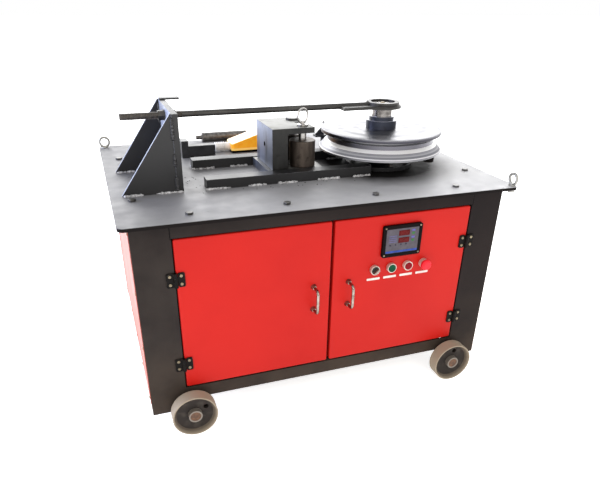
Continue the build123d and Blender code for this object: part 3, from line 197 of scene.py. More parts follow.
def enamel(
    name, dark, light, lightened,
    patch=160, gloss=(0.3, 0.42), reach=1.5, wear=0.6, shine=0.35, drifts=(), faces=(),
):
    """Sprayed enamel on steel: a cloudy tone, edges worn lighter, tones that thicken along axes such as dust
    towards the floor, and painted light on faces that look one way.
    """
    material, tree, place = new_finish(name)
    cloud, colour = toned_patches(tree, place, patch, 6.0, (0.36, dark), (0.66, light))
    peel = patches(tree, place, 6, 3.0)
    rounded, edge = eased_edges(tree, reach)
    colour = lay(tree, colour, lightened, edge, (peel, 0.4, 0.62, wear))
    colour = paint_light_on_faces(tree, colour, faces, cloud)
    for axis, start, end, tone in drifts:
        along = add(tree, "ShaderNodeSeparateXYZ", {"Vector": place}, out=axis)
        colour = lay(tree, colour, tone, (along, start * MM, end * MM), (cloud, 0.2, 0.6))
    sockets = {"Base Color": colour, "Specular IOR Level": shine, "Normal": rounded}
    return close_finish(material, sockets, gloss=(cloud, *gloss), relief=(peel, 0.25, 0.15))


def bench_top_enamel():
    """Grey semi-gloss on rolled plate: silver seen flat, smeared, scratched; a painted sheen lightens it
    towards +X, its sides are painted dark as shade, and a painted shadow lies round the spindle under the
    die.
    """
    sheen_dim_x = -550 * MM
    sheen_bright_x = 500 * MM
    die_shadow_radii = (200 * MM, 310 * MM)
    die_shadow_raggedness = 50 * MM
    material, tree, place = new_finish("charcoal_bench_enamel")
    cloud = patches(tree, place, 260, 5.0)
    smear = patches(tree, place, 45, 7.0)
    across = add(tree, "ShaderNodeSeparateXYZ", {"Vector": place}, out="X")
    # Painted sheen: the plate is painted lighter towards +X
    lighter = {"Value": across, "From Min": sheen_dim_x, "From Max": sheen_bright_x, "To Min": -0.3, "To Max": 0.7}
    lighter = add(tree, "ShaderNodeMapRange", lighter)
    lightened = add(tree, "ShaderNodeMath", {0: cloud, 1: 0.6, 2: lighter}, operation="MULTIPLY_ADD")
    tones = ((0.0, "#58585b"), (0.5, "#7d7d80"), (1.0, "#a0a0a3"))
    colour = add(tree, "ShaderNodeValToRGB", {"Fac": lightened}, ramp=tones)
    scratch = patches(tree, place, (70, 1.6, 70), 2.0)
    colour = lay(tree, colour, "#8d8d90", (scratch, 0.7, 0.76, 0.45))
    grit = add(tree, "ShaderNodeTexVoronoi", {"Vector": place, "Scale": per_metre(26)}, out="Distance")
    sparse = add(tree, "ShaderNodeMapRange", {"Value": smear, "From Min": 0.58, "From Max": 0.66})
    speck = add(tree, "ShaderNodeMapRange", {"Value": grit, "From Min": 0.13, "From Max": 0.07})
    speck = add(tree, "ShaderNodeMath", {0: speck, 1: sparse}, operation="MULTIPLY")
    colour = lay(tree, colour, "#232120", speck)
    rounded, edge = eased_edges(tree, 1.5)
    colour = lay(tree, colour, "#8d8e90", edge, (smear, 0.4, 0.6, 0.5))
    # Painted shadow: a dark ring round the spindle, ragged at its edge, stands for the shade under the die,
    # and takes away its shine
    axis = middle["main_spindle"]
    to_axis = (-axis.x, -axis.y, -high["table_top"].z)
    centred = add(tree, "ShaderNodeMapping", {"Vector": place, "Location": to_axis})
    from_axis = add(tree, "ShaderNodeVectorMath", {0: centred}, out="Value", operation="LENGTH")
    ragged = {0: smear, 1: die_shadow_raggedness, 2: from_axis}
    ragged = add(tree, "ShaderNodeMath", ragged, operation="MULTIPLY_ADD")
    undarkened = {"Value": ragged, "From Min": die_shadow_radii[0], "From Max": die_shadow_radii[1]}
    undarkened = add(tree, "ShaderNodeMapRange", undarkened)
    colour = lay(tree, "#1b1a1a", colour, undarkened)
    # Painted shade: faces that are not level are painted near black, darker than the top
    level = add(tree, "ShaderNodeMath", {0: facing(tree, "Z"), 1: 0.5}, operation="GREATER_THAN")
    colour = lay(tree, "#191616", colour, level)
    shine = add(tree, "ShaderNodeMath", {0: undarkened, 1: level}, operation="MULTIPLY")
    shine = add(tree, "ShaderNodeMapRange", {"Value": shine, "To Min": 0.03, "To Max": 1.0})
    roughness = roughness_from(tree, smear, 0.46, 0.62)
    roughness = add(tree, "ShaderNodeMath", {0: roughness, 1: speck}, operation="MAXIMUM")
    sockets = {"Base Color": colour, "Roughness": roughness, "Specular IOR Level": shine, "Normal": rounded}
    return close_finish(material, sockets, relief=(smear, 0.2, 0.3))


def steel(name, dark, light, stain, gloss, lengths=(60, 60, 60), metal=1.0, faces=()):
    """Bare steel: tone and gloss follow the tool marks, with stains; its edges take the light tone as a
    painted highlight, and some faces take a tone of painted light.
    """
    material, tree, place = new_finish(name)
    marks, colour = toned_patches(tree, place, lengths, 8.0, (0.32, dark), (0.68, light))
    blotches = patches(tree, place, 22, 7.0, roughness=0.65)
    colour = lay(tree, colour, stain, (blotches, 0.55, 0.72, 0.85))
    colour = paint_light_on_faces(tree, colour, faces, marks)
    rounded, edge = eased_edges(tree, 1.0)
    # Edges painted in the light tone: a painted highlight
    colour = lay(tree, colour, light, edge)
    sockets = {"Base Color": colour, "Metallic": metal, "Normal": rounded}
    return close_finish(material, sockets, gloss=(marks, *gloss), relief=(blotches, 0.3, 0.2))


def die_steel_finish(highlight_bands, shade_bands):
    """Steel turned on a lathe: lined sides, bands painted white as highlights and dark as shade, grey smears
    painted on level faces as reflections, and edges painted bright as highlights.
    """
    # Tool marks are too fine to show, so rings of gloss are drawn this many millimetres apart
    ring_spacing = 56.55
    # A wave texture of scale 1 runs through this many radians in a metre
    wave_radians = 20
    material, tree, place = new_finish("turned_die_steel")
    axis = middle["main_spindle"]
    centred = add(tree, "ShaderNodeMapping", {"Vector": place, "Location": (-axis.x, -axis.y, 0.0)})
    scale = per_metre(ring_spacing) * tau / wave_radians
    waves = {"Vector": centred, "Scale": scale, "Distortion": 1.0, "Detail": 2.0}
    rings = add(tree, "ShaderNodeTexWave", waves, out="Fac", wave_type="RINGS", rings_direction="Z")
    # Painted reflection: grey smears laid on the level faces
    smear_tones = ((0.4, "#7b7b7e"), (0.54, "#6f6f74"), (0.68, "#525257"))
    _, painted_smears = toned_patches(tree, place, (85, 16, 30), 6.0, *smear_tones, roughness=0.6)
    from_axis = radius_across(tree, centred, (1.0, 1.0, 0.0))
    height = add(tree, "ShaderNodeSeparateXYZ", {"Vector": place}, out="Z")
    section = add(tree, "ShaderNodeCombineXYZ", {"X": from_axis, "Z": height})
    turning = ((0.36, "#d6d6d8"), (0.5, "#8b8b91"), (0.62, "#4a4a52"))
    _, bare = toned_patches(tree, section, 11, 4.0, *turning)
    masks = []
    # Painted highlight and shade in bands by height; below, the highlight bands also lose most of their metal
    # so that they read white
    for bottom, top, tone in highlight_bands + shade_bands:
        above = add(tree, "ShaderNodeMath", {0: height, 1: bottom * MM}, operation="GREATER_THAN")
        below = add(tree, "ShaderNodeMath", {0: height, 1: top * MM}, operation="LESS_THAN")
        masks.append(add(tree, "ShaderNodeMath", {0: above, 1: below}, operation="MULTIPLY"))
        bare = lay(tree, bare, tone, masks[-1])
    highlight_mask = masks[0]
    for mask in masks[1:len(highlight_bands)]:
        highlight_mask = add(tree, "ShaderNodeMath", {0: highlight_mask, 1: mask}, operation="ADD")
    colour = lay(tree, bare, painted_smears, (facing(tree, "Z"), 0.85, 0.97))
    rounded, edge = eased_edges(tree, 1.2)
    sockets = {
        # Edges painted bright: a painted highlight
        "Base Color": lay(tree, colour, "#d8d8da", edge),
        "Metallic": add(tree, "ShaderNodeMapRange", {"Value": highlight_mask, "To Min": 1.0, "To Max": 0.35}),
        "Roughness": add(tree, "ShaderNodeMapRange", {"Value": rings, "To Min": 0.3, "To Max": 0.42}),
        "Normal": rounded,
    }
    return close_finish(material, sockets)


def spindle_finish():
    """Ground shaft steel, brown and oily above the die and black with grease below it."""
    clean_z = high["spindle_collar"].z - 4 * MM
    material, tree, place = new_finish("oiled_spindle_steel")
    height = add(tree, "ShaderNodeSeparateXYZ", {"Vector": place}, out="Z")
    shown = add(tree, "ShaderNodeMath", {0: height, 1: clean_z}, operation="GREATER_THAN")
    _, undarkened = toned_patches(tree, place, 14, 5.0, (0.35, "#5a5653"), (0.65, "#928e8b"))
    colour = lay(tree, "#0f0e0e", undarkened, shown)
    rounded, _ = eased_edges(tree, 1.0)
    sockets = {"Base Color": colour, "Metallic": 1.0, "Roughness": 0.24, "Normal": rounded}
    return close_finish(material, sockets)


def plastic(name, dark, light, gloss, grain=1.5, depth=0.02, shine=0.18):
    """Moulded plastic: an even colour, with a grain that breaks up its shine, drawn coarse enough to show."""
    material, tree, place = new_finish(name)
    grit = patches(tree, place, grain, 2.0)
    cloud, colour = toned_patches(tree, place, 18, 4.0, (0.35, dark), (0.65, light))
    rounded, _ = eased_edges(tree, 0.6)
    sockets = {"Base Color": colour, "Specular IOR Level": shine, "Normal": rounded}
    return close_finish(material, sockets, gloss=(cloud, *gloss), relief=(grit, 0.3, depth))


def chromed_wire():
    """Chromed wire: mirror-bright, with a faint haze where hands have been."""
    material, tree, place = new_finish("chromed_wire")
    haze, colour = toned_patches(tree, place, 12, 4.0, (0.35, "#756c63"), (0.65, "#a79e94"))
    return close_finish(material, {"Base Color": colour, "Metallic": 1.0}, gloss=(haze, 0.08, 0.22))


def dusty_wheel(name, node):
    """Cast iron wheel: a dusty beige tread, a dark painted web and a grey hub, told apart by radius."""
    hub = ((0.0, "#6b6259"), (0.29, "#7d756c"))
    web = ((0.32, "#231e1a"), (0.8, "#2a2420"))
    tread = ((0.88, "#63594d"), (0.95, "#938775"))
    material, tree, place = new_finish(name)
    axis = middle[node]
    centred = add(tree, "ShaderNodeMapping", {"Vector": place, "Location": (-axis.x, 0.0, -axis.z)})
    radius = radius_across(tree, centred, (1.0, 0.0, 1.0))
    share = add(tree, "ShaderNodeMath", {0: radius, 1: high[node].z - axis.z}, operation="DIVIDE")
    zones = add(tree, "ShaderNodeValToRGB", {"Fac": share}, ramp=hub + web + tread)
    grit = patches(tree, place, 24, 6.0)
    colour = lay(tree, zones, "#c3b7a6", (grit, 0.5, 0.8, 0.06))
    rounded, _ = eased_edges(tree, 1.5)
    sockets = {"Base Color": colour, "Roughness": 0.72, "Specular IOR Level": 0.25, "Normal": rounded}
    return close_finish(material, sockets, relief=(grit, 0.3, 0.4))


def hood_plastic():
    """Orange hood of thin plastic: a painted glow brightens it, its roof is painted pale as a highlight, and
    its edges and hem are painted lighter as highlights.
    """
    hem_top = low["foot_switch_hood"].z + 9 * MM
    hem_solid = low["foot_switch_hood"].z + 7 * MM
    material, tree, place = new_finish("orange_hood_plastic")
    _, colour = toned_patches(tree, place, 20, 5.0, (0.35, "#f7a012"), (0.65, "#ffb42a"))
    # Painted highlight: the roof is painted pale where it faces up
    colour = lay(tree, colour, "#fbf3dc", (facing(tree, "Z"), 0.35, 0.8, 0.6))
    height = add(tree, "ShaderNodeSeparateXYZ", {"Vector": place}, out="Z")
    hem = add(tree, "ShaderNodeMapRange", {"Value": height, "From Min": hem_top, "From Max": hem_solid})
    rounded, edge = eased_edges(tree, 2.0)
    # Painted highlight: the edges and the hem are painted lighter
    lighter = add(tree, "ShaderNodeMath", {0: edge, 1: hem}, operation="MAXIMUM")
    colour = lay(tree, colour, "#ffce70", lighter)
    # Painted glow: the hood gives off light of its own colour, though it is no lamp
    glow = {"Emission Color": colour, "Emission Strength": 0.25}
    return close_finish(material, {"Base Color": colour, "Roughness": 0.35, "Normal": rounded, **glow})


def selector_finish():
    """Selector knob: a black moulded disc under a satin silver lever, told apart by depth."""
    lever_root = low["start_button"].y - 0.2 * MM
    material, tree, place = new_finish("selector_black_and_silver")
    depth = add(tree, "ShaderNodeSeparateXYZ", {"Vector": place}, out="Y")
    silver = add(tree, "ShaderNodeMath", {0: depth, 1: lever_root}, operation="LESS_THAN")
    _, bright = toned_patches(tree, place, (0.6, 6, 6), 4.0, (0.35, "#7d756d"), (0.65, "#a59d94"))
    colour = lay(tree, "#1c1a19", bright, silver)
    rounded, _ = eased_edges(tree, 0.5)
    sockets = {"Base Color": colour, "Metallic": silver, "Roughness": 0.38, "Normal": rounded}
    return close_finish(material, sockets)


def coat(finish, *names):
    """Give a finish to solids by name; gives it back for the pieces that share it."""
    for name in names:
        nodes[name].material_slots[0].material = finish
    return finish


coat(bench_top_enamel(), "table_top")
# Satin black over angle iron, with floor dust settled on its lower part and a tone that lightens it towards
# the left
frame_look = {"gloss": (0.4, 0.55), "wear": 0.35, "shine": 0.06}
frame_drifts = (("X", 150, -620, "#332e2b"), ("Z", 320, 0, "#453b32"))
frame_enamel = coat(
    enamel("black_frame_enamel", "#1d1818", "#241e1d", "#544f4a", drifts=frame_drifts, **frame_look),
    "front_legs", "rear_legs", "top_rails", "bottom_rails", "cross_bars", "axle_lugs", "door_post",
)
# The same black on the bench fittings, glossier, with pale rubbed edges
glossy = {"gloss": (0.36, 0.5), "shine": 0.5}
fitting_enamel = coat(
    enamel("black_fitting_enamel", "#0f0f11", "#171719", "#9a9ba2", wear=0.7, **glossy),
    "guide_rails", "spindle_housing",
)
# The same black on the anchor, blue-white where it faces the light on the left
lit_side = ("X", -1, "#99a2b8")
coat(
    enamel("black_anchor_enamel", "#111113", "#1a1a1c", "#9a9ba2", faces=(lit_side,), **glossy),
    "anchor_plate", "anchor_gussets",
)
# Orange-red gloss on the folded sheet of the doors
door_look = {"patch": 240, "gloss": (0.36, 0.46), "reach": 2.5, "wear": 0.4, "shine": 0.15}
coat(enamel("red_door_enamel", "#ae140d", "#b51911", "#ea6256", **door_look), "left_door", "right_door")
# The same red on the sides, painted paler as glare from the light on the left, and at the back, painted
# darker as shade against the strong back light
panel_look = {"patch": 240, "gloss": (0.4, 0.5)}
coat(enamel("glare_paled_side_enamel", "#a3432f", "#ab4d38", "#d79a90", shine=0.3, **panel_look), "side_panels")
coat(enamel("shade_darkened_rear_enamel", "#800b06", "#890f09", "#c9665b", shine=0.15, **panel_look), "rear_panel")
# Dark grey on the stops, rubbed by the stock that slides against them
stop_look = {"patch": 40, "wear": 0.3, "shine": 0.4}
coat(enamel("grey_stop_enamel", "#232325", "#313134", "#77787c", **stop_look), "table_stops")
# Plain shop paints inside the cabinet, rougher on the casting
casting = {"patch": 30, "gloss": (0.45, 0.6)}
coat(enamel("blue_grey_motor_enamel", "#33475a", "#435a70", "#8a97a2", patch=60), "drive_motor")
coat(enamel("light_grey_box_enamel", "#b2b2ae", "#c2c2be", "#dededa", patch=120), "electrical_box")
coat(enamel("grey_casting_enamel", "#474d53", "#596067", "#868d93", **casting), "gear_reducer")
# Blackened hinges: dull, with hardly any shine
dull = {"patch": 30, "gloss": (0.5, 0.62), "shine": 0.1}
black_steel = coat(
    enamel("blackened_hinge_steel", "#0a0807", "#120f0d", "#5b5348", **dull),
    "frame_hinge_leaves", "left_hinge_leaves", "right_hinge_leaves", "clamp_stub", "foot_pedal",
)

# Hot-rolled plate with its dark mill scale, painted blue-grey where it faces the light on the left and
# painted lighter on top as a sheen
block_painted_light = (("X", -1, "#8a92a8"), ("Z", 1, "#656562"))
rolled = {"lengths": (40, 40, 120), "metal": 0.8, "faces": block_painted_light}
coat(
    steel("mill_scale_block_steel", "#242424", "#393938", "#1a1a19", (0.36, 0.5), **rolled),
    "slide_plate", "guide_block",
)
# Blackened collar steel with a navy cast, its top painted bright as a reflection of the sky
blued = {"metal": 0.5, "faces": (("Z", 1, "#c9cdd8"),)}
coat(steel("blued_collar_steel", "#23252e", "#383c4a", "#222224", (0.26, 0.38), **blued), "spindle_collar")
# Drawn bar, dulled brown by weather
drawn = {"lengths": (140, 20, 20), "metal": 0.85}
rod_steel = coat(
    steel("weathered_rod_steel", "#2b2a2a", "#51504e", "#3b332d", (0.35, 0.5), **drawn),
    "tie_rod", "tie_rod_nuts",
)
# Ground screw steel, grey with brown specks, and threads with rust between their ridges
ground = {"lengths": (12, 12, 12), "metal": 0.8}
rusty = {"lengths": (12, 12, 12), "metal": 0.7}
screw_steel = coat(
    steel("feed_screw_steel", "#4a4846", "#7c7976", "#54443a", (0.35, 0.5), **ground), "feed_screw"
)
thread_steel = steel("rusty_thread_steel", "#322e2b", "#68625b", "#45382f", (0.4, 0.6), **rusty)
# Turned rollers with a dark brown film of oil
turned = {"lengths": (12, 12, 60), "metal": 0.85}
coat(
    steel("oiled_roller_steel", "#3d3630", "#574e47", "#241e1a", (0.42, 0.56), **turned),
    "front_roller", "rear_roller",
)
# Plated and bright fittings: dull bolts, pale eyes, a shining pin, oily gears, yellow screws, satin collars
bolt_steel = coat(
    steel("dull_plated_bolt_steel", "#4b4a49", "#7d7c7a", "#3d3833", (0.3, 0.5)),
    "table_bolts", "rear_roller_pin",
)
coat(steel("zinc_plated_eye_steel", "#8d8c87", "#b7b6b1", "#6d6b65", (0.42, 0.56)), "eye_bolts")
coat(steel("bright_pin_steel", "#94928e", "#c4c1bd", "#75726d", (0.22, 0.36)), "ring_pin")
coat(
    steel("oiled_gear_steel", "#5e5b57", "#8b8884", "#3f3a34", (0.25, 0.42)),
    "drive_gear", "drive_pinion", "spindle_bearings",
)
screw_zinc = steel("zinc_plated_screw_steel", "#6b6252", "#948870", "#4d4436", (0.25, 0.4))
coat(
    steel("satin_collar_aluminium", "#bcb4a9", "#dad3c9", "#9d9589", (0.32, 0.45), metal=0.6),
    "button_collars",
)
# Weld metal with bright ripples, and axle ends brown with rust
rippled = {"lengths": (6, 6, 6), "metal": 0.4}
rusted = {"lengths": (10, 10, 10), "metal": 0.25}
weld_steel = steel("bright_weld_steel", "#77777a", "#d0d0d2", "#4a443e", (0.35, 0.55), **rippled)
coat(steel("rusty_axle_steel", "#45301f", "#6f4d36", "#3a2416", (0.5, 0.7), **rusted), "wheel_axles")

# Bands on the die between two heights in millimetres: painted highlights on the lip and slope, painted shade
# on the neck and the rim of the upper disc
highlight_bands = ((740.5, 743.6, "#cfcfd2"), (757.2, 766.2, "#f4f4f5"))
shade_bands = ((766.2, 779.0, "#6b6a71"), (791.6, 797.5, "#4b4a51"))
coat(die_steel_finish(highlight_bands, shade_bands), "die_upper_half", "die_lower_half")
coat(spindle_finish(), "main_spindle")
coat(chromed_wire(), "left_handle", "right_handle")
coat(selector_finish(), "selector_knob")
coat(hood_plastic(), "foot_switch_hood")
for side in ("left", "right"):
    wheel_iron = dusty_wheel(f"dusty_{side}_wheel_iron", f"wheel_front_{side}")
    coat(wheel_iron, f"wheel_front_{side}", f"wheel_rear_{side}")

# Plastics: grained housings, smooth buttons, dull labels and gland
black_plastic = coat(
    plastic("black_grained_plastic", "#080607", "#0e0b0c", (0.4, 0.55), depth=0.05, shine=0.05),
    "controller", "foot_switch_base", "angle_sensor",
)
coat(plastic("green_button_plastic", "#043a25", "#084a31", (0.2, 0.3), shine=0.08), "start_button")
coat(plastic("dark_red_button_plastic", "#750513", "#830b1a", (0.2, 0.3), shine=0.08), "stop_button")
coat(plastic("mushroom_red_plastic", "#dc1a28", "#e62a35", (0.25, 0.36)), "emergency_button")
white_plastic = plastic("white_label_plastic", "#cbc3bd", "#d9d2cc", (0.4, 0.5))
gland_plastic = coat(plastic("white_gland_plastic", "#e2dfdc", "#f2f0ee", (0.4, 0.5)), "foot_switch_gland")
# Printed films and lenses on the control unit, the lenses smoothest
face_film = plastic("grey_lilac_face_film", "#46424a", "#514d55", (0.3, 0.4), grain=2.5, depth=0.05)
display_lens = plastic("dark_red_display_lens", "#4a090b", "#570d10", (0.12, 0.2), depth=0.01, shine=0.08)
dim_segment = plastic("unlit_display_segment", "#5c1413", "#651817", (0.3, 0.4), depth=0.01)
key_plastic = plastic("dark_key_plastic", "#221d2c", "#2c2638", (0.35, 0.45))
blue_film = plastic("blue_strip_film", "#1e367c", "#2b479a", (0.3, 0.4))
green_lens = plastic("green_lamp_lens", "#285a2e", "#346b39", (0.15, 0.25), depth=0.01)
lilac_film = plastic("lilac_mark_film", "#4d4b8c", "#5b599b", (0.3, 0.4))
legend_film = plastic("pale_lilac_legend_film", "#504d70", "#5b587b", (0.3, 0.4))


# Mesh pieces

def keep(name, mesh, body, finish, smooth_angle=35):
    """Make a finished mesh a piece that rides on a body."""
    mesh.materials.clear()
    mesh.materials.append(finish)
    mesh.shade_smooth()
    mesh.set_sharp_from_angle(angle=radians(smooth_angle))
    piece = bpy.data.objects.new(name, mesh)
    bpy.context.scene.collection.objects.link(piece)
    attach(piece, body)


def keep_solids(name, stacks, body, finish, ring=False):
    """Keep closed solids as one piece; each is a stack of equally long loops, capped or closed to a ring."""
    shape = bmesh.new()
    for loops in stacks:
        rings = [[shape.verts.new(point) for point in loop] for loop in loops]
        for below, above in zip(rings, rings[1:] + (rings[:1] if ring else [])):
            for at in range(len(below)):
                shape.faces.new((below[at - 1], below[at], above[at], above[at - 1]))
        if not ring:
            shape.faces.new(list(reversed(rings[0])))
            shape.faces.new(rings[-1])
    bmesh.ops.recalc_face_normals(shape, faces=shape.faces)
    mesh = bpy.data.meshes.new(name)
    shape.to_mesh(mesh)
    shape.free()
    keep(name, mesh, body, finish)


def ring_loops(section, hub, across, steps=48):
    """Loops of a ring round a hub; each corner of its section is a radius and a place along X or Y."""
    turns = [(cos(tau * step / steps), sin(tau * step / steps)) for step in range(steps)]
    loops = []
    for radius, along in section:
        if across == "X":
            loops.append([(along, hub.y + radius * c, hub.z + radius * s) for c, s in turns])
        else:
            loops.append([(hub.x + radius * c, along, hub.z + radius * s) for c, s in turns])
    return loops


def rounded_outline(width, height, corner, steps=5):
    """Points round a rectangle with rounded corners, about its middle."""
    points = []
    for quarter, (side, end) in enumerate(((1, 1), (-1, 1), (-1, -1), (1, -1))):
        for step in range(steps + 1):
            angle = (quarter + step / steps) * pi / 2
            across = side * (width / 2 - corner) + corner * cos(angle)
            up = end * (height / 2 - corner) + corner * sin(angle)
            points.append((across, up))
    return points


def front_plate(place, size, back_y, thickness, corner, edge=0.3):
    """Loops of a thin plate that faces the front, with a broken front edge; its sizes are in millimetres."""
    x, z = place
    loops = []
    for inset, proud in ((0.0, 0.0), (0.0, thickness - edge), (edge, thickness)):
        outline = rounded_outline(size[0] - 2 * inset, size[1] - 2 * inset, corner - inset)
        loops.append([(x + u * MM, back_y - proud * MM, z + v * MM) for u, v in outline])
    return loops


# Flat pieces on the face of the control unit, in millimetres
face_size = (111, 79)
film_thickness = 0.5
lens_thickness = 0.8
digit_count = 4
digit_pitch = 7
digit_size = (4.2, 8.4)
segment_width = 0.9
face_middle = middle["controller"]
face_y = low["controller"].y + controller_face_sunk
film_y = face_y - film_thickness * MM
lens_y = film_y - lens_thickness * MM


def on_face(size, acrosses, downs):
    """Plates of one size, placed by their share of the face's width and height from its top left corner."""
    xs = [face_middle.x + (across - 0.5) * face_size[0] * MM for across in acrosses]
    zs = [face_middle.z + (0.5 - down) * face_size[1] * MM for down in downs]
    return [((x, z), size) for x in xs for z in zs]


def digit_segments(x, z):
    """The seven segments of one digit, each a place and a size."""
    wide = (digit_size[0] - segment_width, segment_width)
    tall = (segment_width, digit_size[1] / 2 - segment_width)
    side = digit_size[0] / 2 * MM
    rise = digit_size[1] / 4 * MM
    flat = [((x, z + level * 2 * rise), wide) for level in (-1, 0, 1)]
    upright = [((x + end * side, z + level * rise), tall) for end in (-1, 1) for level in (-1, 1)]
    return flat + upright


displays = on_face((37, 17), (0.545,), (0.19, 0.485))
segments = [
    segment
    for (x, z), _ in displays
    for index in range(digit_count)
    for segment in digit_segments(x + (index - (digit_count - 1) / 2) * digit_pitch * MM, z)
]
keys = on_face((4.6, 4.6), (0.14, 0.3, 0.47, 0.63), (0.66,))
strip = on_face((face_size[0] - 2, 6.5), (0.5,), (0.94,))
lamps = on_face((9.5, 7), (0.83,), (0.24, 0.53))
marks = on_face((11.5, 6), (0.83,), (0.12, 0.4))
legend = on_face((27, 3.2), (0.21,), (0.29, 0.37, 0.45, 0.53))
# Name, finish, plates, the place they lie on, thickness, corner radius and broken edge
face_pieces = (
    ("controller_face", face_film, on_face(face_size, (0.5,), (0.5,)), face_y, film_thickness, 3, 0.3),
    ("controller_displays", display_lens, displays, film_y, lens_thickness, 1.2, 0.3),
    ("display_segments", dim_segment, segments, lens_y, 0.15, 0.4, 0.05),
    ("controller_keys", key_plastic, keys, film_y, 1.0, 1.4, 0.3),
    ("controller_strip", blue_film, strip, film_y, 0.3, 1, 0.1),
    ("controller_lamps", green_lens, lamps, film_y, 0.6, 2.4, 0.3),
    ("controller_marks", lilac_film, marks, film_y, 0.4, 1, 0.3),
    ("controller_legend", legend_film, legend, film_y, 0.2, 0.8, 0.1),
)
for name, finish, plates, *depths in face_pieces:
    stacks = [front_plate(*plate, *depths) for plate in plates]
    keep_solids(name, stacks, "right_door", finish)

# Bare label plates under the buttons
label_size = (45, 7.5)
label_thickness = 0.9
label_corner = 2
label_drop = 33.5 * MM
label_z = middle["start_button"].z - label_drop
door_y = low["right_door"].y
labels = [
    front_plate((middle[name].x, label_z), label_size, door_y, label_thickness, label_corner)
    for name in ("selector_knob", "start_button", "stop_button", "emergency_button")
]
keep_solids("label_plates", labels, "right_door", white_plastic)

# Black strips that close the rear edges of the side panels
strip_width = 26 * MM
strip_thickness = 1.2 * MM
panel_low = low["side_panels"]
panel_high = high["side_panels"]
strip_front = panel_high.y - strip_width
strip_outline = (
    (strip_front, panel_low.z),
    (panel_high.y, panel_low.z),
    (panel_high.y, panel_high.z),
    (strip_front, panel_high.z),
)
strips = [
    [[(x, y, z) for y, z in strip_outline] for x in (face, face + outward * strip_thickness)]
    for face, outward in ((panel_low.x, -1), (panel_high.x, 1))
]
keep_solids("panel_edge_strips", strips, "frame", frame_enamel)

# Dark discs inside the wheels, behind the holes in their webs: painted shade, so that the holes read dark
shade_disc_shares = (0.36, 0.78)
shade_disc_depth = 5 * MM
shade_disc_thickness = 2 * MM
for wheel in ("wheel_front_left", "wheel_front_right", "wheel_rear_left", "wheel_rear_right"):
    hub = middle[wheel]
    inward = 1 if hub.y < 0 else -1
    inner_y = (high[wheel].y if inward > 0 else low[wheel].y) - inward * shade_disc_depth
    outer_y = inner_y - inward * shade_disc_thickness
    near, far = (share * (high[wheel].z - hub.z) for share in shade_disc_shares)
    section = ((near, inner_y), (far, inner_y), (far, outer_y), (near, outer_y))
    shade_disc = ring_loops(section, hub, "Y")
    keep_solids(wheel + "_shade_disc", [shade_disc], wheel, black_steel, ring=True)

# Ribs round the sleeve of the foot switch's gland, which keep a cord from kinking
rib_count = 6
rib_pitch = 6.4 * MM
rib_width = 3.6 * MM
rib_radii = (11 * MM, 16.4 * MM)
rib_section = ((0, 0.0), (1, 0.2), (1, 0.8), (0, 1.0))
rib_margin = 1.5 * MM
ribs = []
for index in range(rib_count):
    left = low["foot_switch_gland"].x + rib_margin + index * rib_pitch
    section = [(rib_radii[edge], left + share * rib_width) for edge, share in rib_section]
    ribs.append(ring_loops(section, middle["foot_switch_gland"], "X"))
keep_solids("gland_ribs", ribs, "frame", gland_plastic, ring=True)

# Black strips that paint the shade of the open seams where the top rail meets the front legs
seam_gap = 6 * MM
seam_low = high["left_door"].z
seam_high = low["table_top"].z
seam_size = (2.5, (seam_high - seam_low) / MM)
seam_depths = (0.2, 1, 0.1)
seams = [
    front_plate((x, (seam_low + seam_high) / 2), seam_size, low["top_rails"].y, *seam_depths)
    for x in (low["left_door"].x - seam_gap, high["right_door"].x + seam_gap)
]
keep_solids("painted_seam_shade", seams, "frame", black_plastic)


# Repeated pieces, grown by geometry nodes

def new_tree(name, inputs):
    """A geometry tree with named inputs; gives the tree and its inputs by name."""
    tree = bpy.data.node_groups.new(name, "GeometryNodeTree")
    kinds = {"Geometry": "NodeSocketGeometry", "Finish": "NodeSocketMaterial", "Turn": "NodeSocketVector"}
    for label in ("Geometry", "Finish", *inputs):
        kind = kinds.get(label, "NodeSocketFloat")
        tree.interface.new_socket(label, in_out="INPUT", socket_type=kind)
    tree.interface.new_socket("Geometry", in_out="OUTPUT", socket_type="NodeSocketGeometry")
    given = tree.nodes.new("NodeGroupInput")
    return tree, {socket.name: socket for socket in given.outputs if socket.name}


def close_tree(tree, given, shape, points=None, seed=None, **placing):
    """End a tree with a shape on every point as real geometry, spun by chance if there is a seed."""
    placing = {"Points": points or given["Geometry"], "Instance": shape, **placing}
    placed = add(tree, "GeometryNodeInstanceOnPoints", placing)
    if seed:
        spin = add(tree, "FunctionNodeRandomValue", {"Min": 0.0, "Max": tau, "Seed": seed}, data_type="FLOAT")
        about_axis = add(tree, "ShaderNodeCombineXYZ", {"Z": spin})
        placed = add(tree, "GeometryNodeRotateInstances", {"Instances": placed, "Rotation": about_axis})
    real = add(tree, "GeometryNodeRealizeInstances", {"Geometry": placed})
    finished = add(tree, "GeometryNodeSetMaterial", {"Geometry": real, "Material": given["Finish"]})
    add(tree, "NodeGroupOutput", {"Geometry": finished})
    return tree


def close_heads(tree, given, shape, height, seed):
    """End a tree with heads of the given radius and facing, pressed to that share of the shape's height."""
    size = {0: (1.0, 1.0, height), "Scale": given["Radius"]}
    size = add(tree, "ShaderNodeVectorMath", size, operation="SCALE")
    head = add(tree, "GeometryNodeTransform", {"Geometry": shape, "Scale": size})
    return close_tree(tree, given, head, seed=seed, Rotation=given["Turn"])


